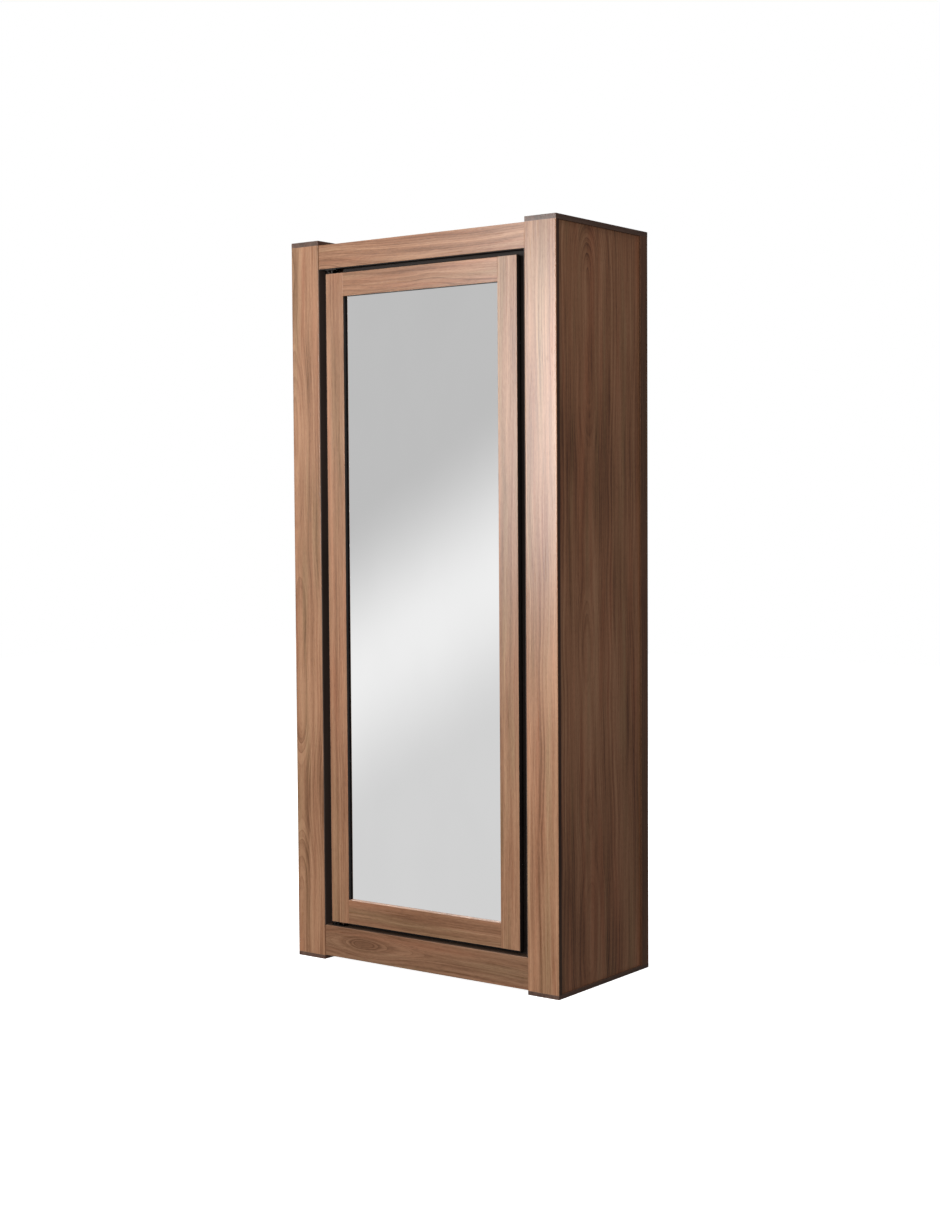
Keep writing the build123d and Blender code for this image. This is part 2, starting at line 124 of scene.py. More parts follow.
def screen(red: int, green: int, blue: int) -> Colour:
    """Turn a screen colour into the linear colour that shaders use.

    Args:
        red: Red, from 0 to 255.
        green: Green, from 0 to 255.
        blue: Blue, from 0 to 255.

    Returns:
        The same colour in linear light.
    """
    shares = (value / 255 for value in (red, green, blue))
    return tuple(share / 12.92 if share <= 0.04045 else ((share + 0.055) / 1.055) ** 2.4 for share in shares)


class ShaderTree:
    """The nodes of one material, with a short method for each kind of node that the finishes use."""

    def __init__(self, name: str) -> None:
        """Start a material with one Principled surface.

        Args:
            name: The material's name.
        """
        self.material = bpy.data.materials.new(name)
        self.material.use_nodes = True
        self.nodes = self.material.node_tree.nodes
        self.links = self.material.node_tree.links
        self.nodes.clear()
        self.surface = self.nodes.new("ShaderNodeBsdfPrincipled")
        output = self.nodes.new("ShaderNodeOutputMaterial")
        self.links.new(self.surface.outputs["BSDF"], output.inputs["Surface"])

    def feed(self, socket: Socket, value: Socket | float | Sequence[float]) -> None:
        """Give an input a number, a colour or another node's output.

        Args:
            socket: The input to set.
            value: What it gets.
        """
        if isinstance(value, bpy.types.NodeSocket):
            self.links.new(value, socket)
        elif isinstance(value, (int, float)):
            socket.default_value = value
        else:
            missing = len(socket.default_value) - len(value)
            socket.default_value = (*value, *([1.0] * missing))

    def set(self, **values: Socket | float | Sequence[float]) -> None:
        """Set inputs of the surface by name, with underscores for spaces.

        Args:
            **values: What each input gets.
        """
        for name, value in values.items():
            self.feed(self.surface.inputs[name.replace("_", " ")], value)

    def maths(self, operation: str, *values: Socket | float, clamp: bool = False) -> Socket:
        """Work out one number from others.

        Args:
            operation: Blender's name for the operation.
            *values: Its inputs, in order.
            clamp: Whether the result is kept from 0 to 1.

        Returns:
            The result.
        """
        node = self.nodes.new("ShaderNodeMath")
        node.operation = operation
        node.use_clamp = clamp
        for socket, value in zip(node.inputs, values):
            self.feed(socket, value)
        return node.outputs[0]

    def place(self) -> Socket:
        """The shaded point, in the cabinet's own frame."""
        return self.nodes.new("ShaderNodeTexCoord").outputs["Object"]

    def facing(self) -> Socket:
        """The way that the surface looks, in the cabinet's own frame."""
        return self.nodes.new("ShaderNodeTexCoord").outputs["Normal"]

    def split(self, vector: Socket) -> tuple[Socket, Socket, Socket]:
        """Take a vector apart.

        Args:
            vector: The vector.

        Returns:
            Its X, Y and Z.
        """
        node = self.nodes.new("ShaderNodeSeparateXYZ")
        self.feed(node.inputs[0], vector)
        return tuple(node.outputs)

    def join(self, x: Socket | float, y: Socket | float, z: Socket | float) -> Socket:
        """Put a vector together.

        Args:
            x: Its X.
            y: Its Y.
            z: Its Z.

        Returns:
            The vector.
        """
        node = self.nodes.new("ShaderNodeCombineXYZ")
        for socket, value in zip(node.inputs, (x, y, z)):
            self.feed(socket, value)
        return node.outputs[0]

    def stretch(self, vector: Socket, factors: Sequence[float]) -> Socket:
        """Multiply a vector by one factor for each axis.

        Args:
            vector: The vector.
            factors: The three factors.

        Returns:
            The stretched vector.
        """
        node = self.nodes.new("ShaderNodeVectorMath")
        node.operation = "MULTIPLY"
        self.feed(node.inputs[0], vector)
        self.feed(node.inputs[1], factors)
        return node.outputs[0]

    def noise(self, vector: Socket, detail: float = 2.0, roughness: float = 0.5) -> Socket:
        """Soft noise with features about one unit wide.

        Args:
            vector: Where to read it.
            detail: How many finer layers it has.
            roughness: How strong those are.

        Returns:
            The noise, from 0 to 1.
        """
        node = self.nodes.new("ShaderNodeTexNoise")
        self.feed(node.inputs["Vector"], vector)
        self.feed(node.inputs["Scale"], 1.0)
        self.feed(node.inputs["Detail"], detail)
        self.feed(node.inputs["Roughness"], roughness)
        return node.outputs[0]

    def rows(self, number: Socket, detail: float = 2.0) -> Socket:
        """Noise along a line, as growth rings vary from year to year.

        Args:
            number: Where to read it, one unit a ring.
            detail: How many finer layers it has.

        Returns:
            The noise, from 0 to 1.
        """
        node = self.nodes.new("ShaderNodeTexNoise")
        node.noise_dimensions = "1D"
        self.feed(node.inputs["W"], number)
        self.feed(node.inputs["Scale"], 1.0)
        self.feed(node.inputs["Detail"], detail)
        return node.outputs[0]

    def reach(
        self, value: Socket, low: float, high: float, bottom: float = 0.0, top: float = 1.0
    ) -> Socket:
        """Carry a range of numbers over to another one, eased and held at its ends.

        Args:
            value: The number.
            low: Where the first range starts.
            high: Where the first range ends.
            bottom: What low becomes.
            top: What high becomes.

        Returns:
            The number in the new range.
        """
        node = self.nodes.new("ShaderNodeMapRange")
        node.interpolation_type = "SMOOTHSTEP"
        for socket, number in zip(node.inputs, (value, low, high, bottom, top)):
            self.feed(socket, number)
        return node.outputs[0]

    def ramp(self, value: Socket, stops: Sequence[tuple[float, Colour]], eased: bool = False) -> Socket:
        """Colour a number.

        Args:
            value: The number, from 0 to 1.
            stops: Positions with their colours, in order.
            eased: Whether the colours blend softly into one another.

        Returns:
            The colour.
        """
        node = self.nodes.new("ShaderNodeValToRGB")
        node.color_ramp.interpolation = "EASE" if eased else "LINEAR"
        elements = node.color_ramp.elements
        while len(elements) < len(stops):
            elements.new(1.0)
        for element, (position, colour) in zip(elements, stops):
            element.position = position
            element.color = (*colour, 1.0)
        self.feed(node.inputs[0], value)
        return node.outputs[0]

    def mix(
        self, share: Socket | float, first: Socket | Colour, second: Socket | Colour, blend: str = "MIX"
    ) -> Socket:
        """Blend two colours.

        Args:
            share: How much the second counts.
            first: The first colour.
            second: The second colour.
            blend: Blender's name for the kind of blend.

        Returns:
            The blended colour.
        """
        node = self.nodes.new("ShaderNodeMix")
        node.data_type = "RGBA"
        node.blend_type = blend
        share_input, first_input, second_input, colour_output = 0, 6, 7, 2
        for index, value in ((share_input, share), (first_input, first), (second_input, second)):
            self.feed(node.inputs[index], value)
        return node.outputs[colour_output]

    def relief(self, height: Socket, depth: float, strength: float = 1.0) -> None:
        """Give the surface a fine relief.

        Args:
            height: The relief, from 0 to 1.
            depth: How deep 1 is, in metres.
            strength: How much of it counts.
        """
        node = self.nodes.new("ShaderNodeBump")
        self.feed(node.inputs["Strength"], strength)
        self.feed(node.inputs["Distance"], depth)
        self.feed(node.inputs["Height"], height)
        self.feed(self.surface.inputs["Normal"], node.outputs[0])

    def arris(self, box: Box) -> Socket:
        """How far the shaded point of a board is from the board's nearest outer arris.

        Args:
            box: The board's lowest and highest corners.

        Returns:
            The distance in metres: the second smallest of the distances to the box's three pairs of faces.
        """
        gaps = []
        for value, low, high in zip(self.split(self.place()), *box):
            from_low = self.maths("SUBTRACT", value, low)
            from_high = self.maths("SUBTRACT", high, value)
            gaps.append(self.maths("MINIMUM", from_low, from_high))
        first, second, third = gaps
        nearer = self.maths("MINIMUM", first, second)
        farther = self.maths("MAXIMUM", first, second)
        return self.maths("MAXIMUM", nearer, self.maths("MINIMUM", farther, third))


class Finish(ABC):
    """What a surface is made of."""

    @abstractmethod
    def material(self, piece: str, box: Box) -> bpy.types.Material:
        """Make the finish's material for one piece.

        Args:
            piece: The piece's name, which also picks its own stretch of the pattern.
            box: The piece's lowest and highest corners.

        Returns:
            The material.
        """


@dataclass(frozen=True)
class Knot:
    """An eye in the grain, which the growth rings run round. Its places are measured from the board's middle.

    Attributes:
        along: Its place along the grain.
        across: Its place across the grain.
        width: How far it pushes the grain aside.
        before: How far it reaches along the grain towards the low end.
        after: How far it reaches towards the high end.
        core: How dark its heart is, from 0 to 1.
    """

    along: float
    across: float
    width: float
    before: float
    after: float
    core: float = 0.0


@dataclass(frozen=True)
class Figure:
    """How a board was cut from its tree.

    Attributes:
        heart_across: How far the tree's heart lies from the board's middle, across the grain.
        heart_depth: How far it lies behind the board's middle.
        lean: How fast it comes nearer along the board.
        ring: The usual width of a growth ring.
        sway: How far the grain wanders sideways.
        wave: How far the heart rises and sinks along the board, which closes the rings to long eyes.
        knots: The eyes in its grain.
    """

    heart_across: float = 0.16
    heart_depth: float = 0.05
    lean: float = 0.01
    ring: float = 0.0095
    sway: float = 0.045
    wave: float = 0.0
    knots: tuple[Knot, ...] = ()


STRAIGHT = Figure()
RIFT = Figure(heart_across=-0.12, heart_depth=0.09, lean=0.02, ring=0.011)


@dataclass(frozen=True)
class Streaks:
    """One layer of a board's pattern.

    Attributes:
        across: How many streaks a metre holds across the grain.
        along: How many it holds along the grain.
        detail: How many finer layers it has.
        roughness: How strong those are.
        amount: How much it changes the board's tone, or how far it bends the grain.
    """

    across: float
    along: float
    detail: float = 2.0
    roughness: float = 0.5
    amount: float = 0.0

    def draw(self, tree: ShaderTree, point: Socket) -> Socket:
        """Draw the layer.

        Args:
            tree: The material that it is for.
            point: The shaded point across, through and along the board.

        Returns:
            The pattern, from 0 to 1.
        """
        stretched = tree.stretch(point, (self.across, self.across, self.along))
        return tree.noise(stretched, self.detail, self.roughness)


SWAY = Streaks(3.2, 1.3)
RIPPLE = Streaks(24.0, 4.5, amount=12 * MILLIMETRE)
PATCHES = Streaks(13.0, 1.7)
BROAD_STREAKS = Streaks(60.0, 2.6, amount=0.55)
NARROW_STREAKS = Streaks(210.0, 7.0, detail=3.0, roughness=0.6, amount=0.46)
FIBRES = Streaks(1000.0, 26.0, detail=3.0, roughness=0.6, amount=0.50)
CLOUDS = Streaks(9.0, 1.8, amount=0.55)
FLECKS = Streaks(330.0, 90.0, amount=0.28)
PORES = Streaks(1500.0, 60.0, detail=1.0)
HUES = Streaks(34.0, 1.9)
WEAR = Streaks(60.0, 12.0, detail=3.0)

WAVES_PER_METRE = 2.3
YEARS_APART = 3.2
LATE_WOOD = (0.40, 0.96)
YEAR_TONE = 0.42
LATE_TONE = 0.22
HEART_TONE = 0.4
MEAN_TONE = 0.57
GREENER = (0.86, 0.99, 0.95)
REDDER = (1.05, 0.90, 0.87)
# Width over which arrises are painted paler: partly wear, partly painted highlight where the eased edges
# catch the light.
WORN_AND_HIGHLIT_ARRIS = (1.6 * MILLIMETRE, 0.2 * MILLIMETRE)
GRAIN_DEPTH = 0.02 * MILLIMETRE
GRAIN_STRENGTH = 0.6
SKIN_DEPTH = 0.01 * MILLIMETRE


@dataclass(frozen=True)
class Wood(Finish):
    """Lacquered wood, with growth rings, knots, fibres, pores, and arrises painted paler: partly wear, partly
    painted highlight.

    Attributes:
        pale: The lightest tone.
        middle: The usual tone.
        dark: The tone of the late wood.
        along: The axis that the grain follows.
        facing: The axis that the show face looks along.
        figure: How the board was cut.
        contrast: How strongly the rings show.
        shine: The surface's roughness.
        tone: The board's own brightness beside the other boards.
        mottle: How strongly its broad streaks and clouds show, beside the other boards.
    """

    pale: Colour
    middle: Colour
    dark: Colour
    along: Axis = Axis.Z
    facing: Axis = Axis.Y
    figure: Figure = STRAIGHT
    contrast: float = 1.25
    shine: float = 0.29
    tone: float = 1.0
    mottle: float = 1.0

    def laid(
        self,
        along: Axis,
        facing: Axis,
        figure: Figure = STRAIGHT,
        tone: float = 1.0,
        contrast: float | None = None,
        mottle: float = 1.0,
    ) -> "Wood":
        """The same wood for a board with its own lay.

        Args:
            along: The axis that the grain follows.
            facing: The axis that the show face looks along.
            figure: How the board was cut.
            tone: The board's own brightness.
            contrast: How strongly its rings show, where that isn't the wood's own value.
            mottle: How strongly its broad streaks and clouds show.

        Returns:
            The finish for that board.
        """
        rings = self.contrast if contrast is None else contrast
        return replace(
            self, along=along, facing=facing, figure=figure, tone=tone, contrast=rings, mottle=mottle
        )

    def _lay(self, tree: ShaderTree, box: Box) -> tuple[Socket, Socket, Socket]:
        """Measure the shaded point from the board's middle.

        Args:
            tree: The material that it is for.
            box: The board's lowest and highest corners.

        Returns:
            The point's places across, through and along the board.
        """
        across = next(axis for axis in Axis if axis not in (self.along, self.facing))
        middle = (box[0] + box[1]) / 2
        parts = tree.split(tree.place())
        return tuple(
            tree.maths("SUBTRACT", parts[axis.value], middle[axis.value])
            for axis in (across, self.facing, self.along)
        )

    def _pushed_aside(
        self, tree: ShaderTree, knot: Knot, across: Socket, along: Socket
    ) -> tuple[Socket, Socket, Socket]:
        """Lead the grain round a knot.

        Args:
            tree: The material that it is for.
            knot: The knot.
            across: The place across the grain.
            along: The place along the grain.

        Returns:
            The new place across, how near the knot is, and how dark its heart is there.
        """
        step = tree.maths("SUBTRACT", across, knot.across)
        run = tree.maths("SUBTRACT", along, knot.along)
        ahead = tree.maths("DIVIDE", tree.maths("MAXIMUM", run, 0.0), knot.after)
        behind = tree.maths("DIVIDE", tree.maths("MINIMUM", run, 0.0), knot.before)
        share = tree.maths("ADD", ahead, behind)
        near = tree.maths("EXPONENT", tree.maths("MULTIPLY", tree.maths("MULTIPLY", share, share), -1.0))
        swell = tree.maths("MULTIPLY", near, knot.width**2)
        rest = tree.maths("SUBTRACT", tree.maths("MULTIPLY", step, step), swell)
        outside = tree.maths("GREATER_THAN", rest, 0.0)
        side = tree.maths("SIGN", step)
        turned = tree.maths("ADD", tree.maths("MULTIPLY", outside, tree.maths("SUBTRACT", side, 1.0)), 1.0)
        distance = tree.maths("SQRT", tree.maths("ABSOLUTE", rest))
        place = tree.maths("ADD", tree.maths("MULTIPLY", turned, distance), knot.across)
        close = tree.reach(rest, (3.0 * knot.width) ** 2, 0.0)
        heart = tree.reach(rest, -0.72 * knot.width**2, -0.98 * knot.width**2, 0.0, knot.core)
        return place, tree.maths("MULTIPLY", close, near), heart

    def _rings(
        self, tree: ShaderTree, lay: tuple[Socket, Socket, Socket], start: float
    ) -> tuple[Socket, Socket, Socket]:
        """Draw the growth rings that the board's face cuts through.

        Args:
            tree: The material that it is for.
            lay: The shaded point across, through and along the board.
            start: Where the board's own stretch of the pattern starts.

        Returns:
            The rings' changing tone, the dark line that ends each ring, and the hearts of the knots.
        """
        across, through, along = lay
        started = tree.maths("ADD", along, start)
        point = tree.join(across, through, started)
        sway = self._spread(tree, SWAY.draw(tree, point), self.figure.sway)
        ripple = self._spread(tree, RIPPLE.draw(tree, point), RIPPLE.amount)
        place = tree.maths("ADD", across, tree.maths("ADD", sway, ripple))
        closeness: Socket | float = 0.0
        hearts: Socket | float = 0.0
        for knot in self.figure.knots:
            place, near, heart = self._pushed_aside(tree, knot, place, along)
            closeness = tree.maths("MAXIMUM", closeness, near)
            hearts = tree.maths("MAXIMUM", hearts, heart)
        side_step = tree.maths("ADD", place, self.figure.heart_across)
        swing = tree.rows(tree.maths("MULTIPLY", started, WAVES_PER_METRE), detail=1.0)
        rise = self._spread(tree, swing, self.figure.wave)
        leaning = tree.maths("ADD", tree.maths("MULTIPLY", along, self.figure.lean), rise)
        depth = tree.maths("ADD", tree.maths("ADD", through, leaning), self.figure.heart_depth)
        squares = (tree.maths("MULTIPLY", side_step, side_step), tree.maths("MULTIPLY", depth, depth))
        count = tree.maths("DIVIDE", tree.maths("SQRT", tree.maths("ADD", *squares)), self.figure.ring)
        years = tree.rows(count, detail=3.0)
        phase = tree.maths("FRACT", tree.maths("ADD", count, tree.maths("MULTIPLY", years, YEARS_APART)))
        late = tree.maths("MULTIPLY", tree.reach(phase, *LATE_WOOD), tree.reach(phase, 1.0, LATE_WOOD[1]))
        patches = tree.reach(PATCHES.draw(tree, point), 0.44, 0.66)
        patches = tree.maths("MAXIMUM", patches, closeness)
        return years, tree.maths("MULTIPLY", late, patches), hearts

    def _spread(self, tree: ShaderTree, pattern: Socket, amount: float) -> Socket:
        """A pattern about nought, with its strength."""
        return tree.maths("MULTIPLY", tree.maths("SUBTRACT", pattern, 0.5), amount)

    def paint(self, tree: ShaderTree, piece: str, box: Box) -> tuple[Socket, Socket, Socket]:
        """Work out the wood's look.

        Args:
            tree: The material that it is for.
            piece: The board's name, which also picks its own stretch of the pattern.
            box: The board's lowest and highest corners.

        Returns:
            Its colour, its roughness, and its relief from 0 to 1.
        """
        start = random.Random(piece).uniform(2.0, 40.0)
        lay = self._lay(tree, box)
        years, late, hearts = self._rings(tree, lay, start)
        point = tree.join(lay[0], lay[1], tree.maths("ADD", lay[2], start))
        narrow = NARROW_STREAKS.draw(tree, point)
        fibres = FIBRES.draw(tree, point)
        pores = tree.reach(PORES.draw(tree, point), 0.58, 0.70)

        shade = self._spread(tree, years, YEAR_TONE * self.contrast)
        layers = (
            (BROAD_STREAKS.draw(tree, point), BROAD_STREAKS.amount * self.mottle),
            (CLOUDS.draw(tree, point), CLOUDS.amount * self.mottle),
            (narrow, NARROW_STREAKS.amount),
            (fibres, FIBRES.amount),
            (FLECKS.draw(tree, point), FLECKS.amount),
        )
        for pattern, amount in layers:
            shade = tree.maths("ADD", shade, self._spread(tree, pattern, amount))
        shade = tree.maths("SUBTRACT", shade, tree.maths("MULTIPLY", late, LATE_TONE * self.contrast))
        shade = tree.maths("SUBTRACT", shade, tree.maths("MULTIPLY", hearts, HEART_TONE))
        shade = tree.maths("ADD", shade, MEAN_TONE, clamp=True)
        colour = tree.ramp(shade, ((0.10, self.dark), (0.5, self.middle), (0.90, self.pale)))

        hue = HUES.draw(tree, point)
        for strongest, tint in ((0.72, GREENER), (0.28, REDDER)):
            colour = tree.mix(tree.reach(hue, 0.50, strongest, 0.0, 0.75), colour, tint, "MULTIPLY")
        colour = tree.mix(tree.maths("MULTIPLY", pores, 0.30), colour, self.dark, "MULTIPLY")
        colour = tree.mix(1.0, colour, (self.tone, self.tone, self.tone), "MULTIPLY")

        # Arrises painted towards the pale tone: partly wear, partly painted highlight.
        broken = tree.reach(WEAR.draw(tree, point), 0.40, 0.62, 0.15, 0.5)
        worn = tree.maths("MULTIPLY", tree.reach(tree.arris(box), *WORN_AND_HIGHLIT_ARRIS), broken)
        colour = tree.mix(worn, colour, self.pale)
        gloss = tree.maths("ADD", self._spread(tree, narrow, 0.10), tree.maths("MULTIPLY", pores, 0.16))
        relief = tree.maths("SUBTRACT", tree.maths("MULTIPLY", fibres, 0.5), pores)
        return colour, tree.maths("ADD", gloss, self.shine), relief

    def material(self, piece: str, box: Box) -> bpy.types.Material:
        """Make the wood for one board.

        Args:
            piece: The board's name, which also picks its own stretch of the pattern.
            box: The board's lowest and highest corners.

        Returns:
            The material.
        """
        tree = ShaderTree(f"wood_{piece}")
        colour, gloss, relief = self.paint(tree, piece, box)
        tree.relief(relief, GRAIN_DEPTH, GRAIN_STRENGTH)
        tree.set(Base_Color=colour, Roughness=gloss)
        return tree.material


@dataclass(frozen=True)
class EdgedWood(Finish):
    """A board with a dark band on one long edge.

    Attributes:
        wood: The board's own finish.
        band: The band's finish.
        axis: The axis that the banded edge looks along.
        outward: 1 where it looks towards that axis's high end, -1 where it looks the other way.
    """

    wood: Wood
    band: Wood
    axis: Axis
    outward: float

    def material(self, piece: str, box: Box) -> bpy.types.Material:
        """Make the board with its band.

        Args:
            piece: The board's name, which also picks its own stretch of the pattern.
            box: The board's lowest and highest corners.

        Returns:
            The material.
        """
        tree = ShaderTree(f"edged_{piece}")
        colour, gloss, relief = self.wood.paint(tree, piece, box)
        band, band_gloss, _ = self.band.paint(tree, f"{piece}_band", box)
        turned = tree.maths("MULTIPLY", tree.split(tree.facing())[self.axis.value], self.outward)
        share = tree.reach(turned, 0.80, 0.90)
        tree.relief(relief, GRAIN_DEPTH, GRAIN_STRENGTH)
        duller = tree.maths("MULTIPLY", share, tree.maths("SUBTRACT", band_gloss, gloss))
        roughness = tree.maths("ADD", gloss, duller)
        tree.set(Base_Color=tree.mix(share, colour, band), Roughness=roughness)
        return tree.material


@dataclass(frozen=True)
class Fibreboard(Finish):
    """Thin fibreboard, printed on the side that looks into the cupboard and bare behind.

    Attributes:
        printed: The finish of the printed face.
        bare: The colour of the bare face.
    """

    printed: Wood
    bare: Colour

    def material(self, piece: str, box: Box) -> bpy.types.Material:
        """Make the board, printed in front and bare behind.

        Args:
            piece: The board's name, which also picks its own stretch of the pattern.
            box: The board's lowest and highest corners.

        Returns:
            The material.
        """
        tree = ShaderTree(f"fibreboard_{piece}")
        colour, gloss, relief = self.printed.paint(tree, piece, box)
        felt = tree.noise(tree.stretch(tree.place(), (900.0, 900.0, 900.0)), detail=4.0)
        blotches = tree.noise(tree.stretch(tree.place(), (11.0, 11.0, 11.0)), detail=3.0)
        darker = tuple(0.72 * part for part in self.bare)
        lighter = tuple(1.12 * part for part in self.bare)
        fine, coarse = tree.maths("MULTIPLY", felt, 0.65), tree.maths("MULTIPLY", blotches, 0.35)
        bare = tree.ramp(tree.maths("ADD", fine, coarse), ((0.34, darker), (0.66, lighter)))
        behind = tree.maths("GREATER_THAN", tree.split(tree.facing())[Axis.Y.value], 0.5)
        felted = tree.maths("ADD", relief, tree.maths("MULTIPLY", felt, behind))
        tree.relief(felted, GRAIN_DEPTH, GRAIN_STRENGTH)
        roughness = tree.maths("MAXIMUM", gloss, tree.maths("MULTIPLY", behind, 0.82))
        tree.set(Base_Color=tree.mix(behind, colour, bare), Roughness=roughness)
        return tree.material


@dataclass(frozen=True)
class Laminate(Finish):
    """Near-black laminate with a fine grained surface and slightly rubbed arrises.

    Attributes:
        colour: Its colour.
        rubbed: The colour of its arrises.
        shine: Its roughness.
        painted_top_light: The colour painted on the faces that look up, where it is given: painted light from
            above, not the laminate's own colour.
    """

    colour: Colour
    rubbed: Colour
    shine: float = 0.5
    painted_top_light: Colour | None = None

    def material(self, piece: str, box: Box) -> bpy.types.Material:
        """Make the laminate.

        Args:
            piece: The piece's name.
            box: The piece's lowest and highest corners.

        Returns:
            The material.
        """
        tree = ShaderTree(f"laminate_{piece}")
        cloud = tree.noise(tree.stretch(tree.place(), (14.0, 14.0, 4.0)), detail=3.0)
        peel = tree.noise(tree.stretch(tree.place(), (1500.0, 1500.0, 1500.0)), detail=2.0)
        mottled = tree.maths("ADD", tree.maths("MULTIPLY", cloud, 0.6), tree.maths("MULTIPLY", peel, 0.4))
        darker = tuple(0.75 * part for part in self.colour)
        lighter = tuple(1.35 * part for part in self.colour)
        colour = tree.ramp(mottled, ((0.3, darker), (0.7, lighter)))
        edge = tree.reach(tree.arris(box), 0.0009, 0.0001)
        worn = tree.maths("MULTIPLY", edge, tree.reach(cloud, 0.4, 0.6, 0.1, 0.5))
        colour = tree.mix(worn, colour, self.rubbed)
        # Painted light: faces that look up are coloured pale, as if lit from above.
        if self.painted_top_light:
            upward = tree.maths("GREATER_THAN", tree.split(tree.facing())[Axis.Z.value], 0.7)
            painted_top_light = tree.mix(tree.reach(cloud, 0.35, 0.65, 0.0, 0.3), self.painted_top_light, self.rubbed)
            colour = tree.mix(upward, colour, painted_top_light)
        tree.relief(peel, SKIN_DEPTH, 0.5)
        tree.set(
            Base_Color=colour,
            Roughness=tree.reach(cloud, 0.3, 0.7, self.shine, self.shine + 0.1),
            Specular_IOR_Level=0.25,
        )
        return tree.material


@dataclass(frozen=True)
class Silvering(Finish):
    """Mirror glass: silvered over its face, with greenish ground edges.

    Attributes:
        silver: The colour of what it reflects.
        edge: The colour of the ground edges.
    """

    silver: Colour
    edge: Colour

    def material(self, piece: str, box: Box) -> bpy.types.Material:
        """Make the mirror.

        Args:
            piece: The pane's name.
            box: The pane's lowest and highest corners.

        Returns:
            The material.
        """
        tree = ShaderTree(f"silvering_{piece}")
        haze = tree.noise(tree.stretch(tree.place(), (5.0, 5.0, 3.0)), detail=3.0)
        ground = tree.reach(tree.arris(box), 0.0012, 0.0006)
        slightly_dull = tuple(0.985 * part for part in self.silver)
        silver = tree.mix(tree.reach(haze, 0.35, 0.65), self.silver, slightly_dull)
        tree.set(
            Base_Color=tree.mix(ground, silver, self.edge),
            Metallic=tree.maths("SUBTRACT", 1.0, ground),
            Roughness=tree.maths("MULTIPLY", ground, 0.35),
        )
        return tree.material


@dataclass(frozen=True)
class Metal(Finish):
    """Plated metal with a fine brushed or tumbled surface.

    Attributes:
        colour: Its colour.
        shine: Its roughness.
    """

    colour: Colour
    shine: float = 0.32

    def material(self, piece: str, box: Box) -> bpy.types.Material:
        """Make the metal.

        Args:
            piece: The piece's name.
            box: The piece's lowest and highest corners.

        Returns:
            The material.
        """
        tree = ShaderTree(f"metal_{piece}")
        brushed = tree.noise(tree.stretch(tree.place(), (260.0, 2600.0, 2600.0)), detail=2.0)
        cloud = tree.noise(tree.stretch(tree.place(), (90.0, 90.0, 90.0)), detail=3.0)
        duller = tuple(0.78 * part for part in self.colour)
        colour = tree.mix(tree.reach(cloud, 0.35, 0.7), self.colour, duller)
        bright = tuple(min(1.0, 1.25 * part) for part in self.colour)
        colour = tree.mix(tree.reach(tree.arris(box), 0.0005, 0.0001, 0.0, 0.6), colour, bright)
        tree.relief(brushed, SKIN_DEPTH, 0.6)
        roughness = tree.reach(cloud, 0.3, 0.7, self.shine, self.shine + 0.14)
        tree.set(Base_Color=colour, Metallic=1.0, Roughness=roughness)
        return tree.material


@dataclass(frozen=True)
class Plastic(Finish):
    """Moulded plastic or soft rubber.

    Attributes:
        colour: Its colour.
        shine: Its roughness.
        glow: How much light passes under its skin.
    """

    colour: Colour
    shine: float
    glow: float

    def material(self, piece: str, box: Box) -> bpy.types.Material:
        """Make the plastic.

        Args:
            piece: The piece's name.
            box: The piece's lowest and highest corners.

        Returns:
            The material.
        """
        tree = ShaderTree(f"plastic_{piece}")
        cloud = tree.noise(tree.stretch(tree.place(), (120.0, 120.0, 120.0)), detail=3.0)
        skin = tree.noise(tree.stretch(tree.place(), (2200.0, 2200.0, 2200.0)), detail=1.0)
        shaded = tuple(0.86 * part for part in self.colour)
        tree.relief(skin, SKIN_DEPTH, 0.5)
        tree.set(
            Base_Color=tree.mix(tree.reach(cloud, 0.3, 0.7), self.colour, shaded),
            Roughness=tree.reach(skin, 0.3, 0.7, self.shine, self.shine + 0.08),
            Subsurface_Weight=self.glow,
            Subsurface_Scale=0.002,
        )
        return tree.material


WALNUT = Wood(pale=screen(176, 134, 104), middle=screen(150, 109, 82), dark=screen(112, 76, 54))
# A copy of the front walnut, redder and darker in its late wood, for the outer side panels: painted shade of
# the sides that face away from the key light.
SHADED_SIDE_WALNUT = Wood(
    pale=screen(178, 130, 98), middle=screen(152, 104, 74), dark=screen(98, 63, 44), shine=0.38
)
EDGE_WALNUT = Wood(pale=screen(80, 56, 44), middle=screen(62, 42, 32), dark=screen(42, 29, 23), shine=0.42)
DARK_WALNUT = Wood(pale=screen(120, 84, 63), middle=screen(99, 68, 50), dark=screen(64, 43, 31), shine=0.38)
SMOKED_WALNUT = Wood(pale=screen(112, 88, 76), middle=screen(88, 66, 56), dark=screen(58, 42, 35), shine=0.36)
INSIDE_WALNUT = Wood(
    pale=screen(158, 122, 94), middle=screen(134, 97, 72), dark=screen(100, 69, 50), contrast=0.8, shine=0.55
)
BEECH = Wood(
    pale=screen(226, 196, 158),
    middle=screen(212, 176, 136),
    dark=screen(184, 144, 104),
    contrast=0.4,
    shine=0.6,
)
BACK_BOARD = Fibreboard(printed=INSIDE_WALNUT.laid(Axis.Z, Axis.Y, RIFT), bare=screen(120, 88, 62))
BLACK = Laminate(colour=screen(68, 56, 50), rubbed=screen(84, 70, 62))
BAND_BLACK = Laminate(colour=screen(38, 32, 29), rubbed=screen(46, 39, 35), shine=0.6)
# The lip's upward faces get a pale pinkish colour: painted light from above.
LIP_BLACK = Laminate(
    colour=screen(24, 20, 19), rubbed=screen(44, 39, 37), shine=0.4, painted_top_light=screen(206, 168, 146)
)
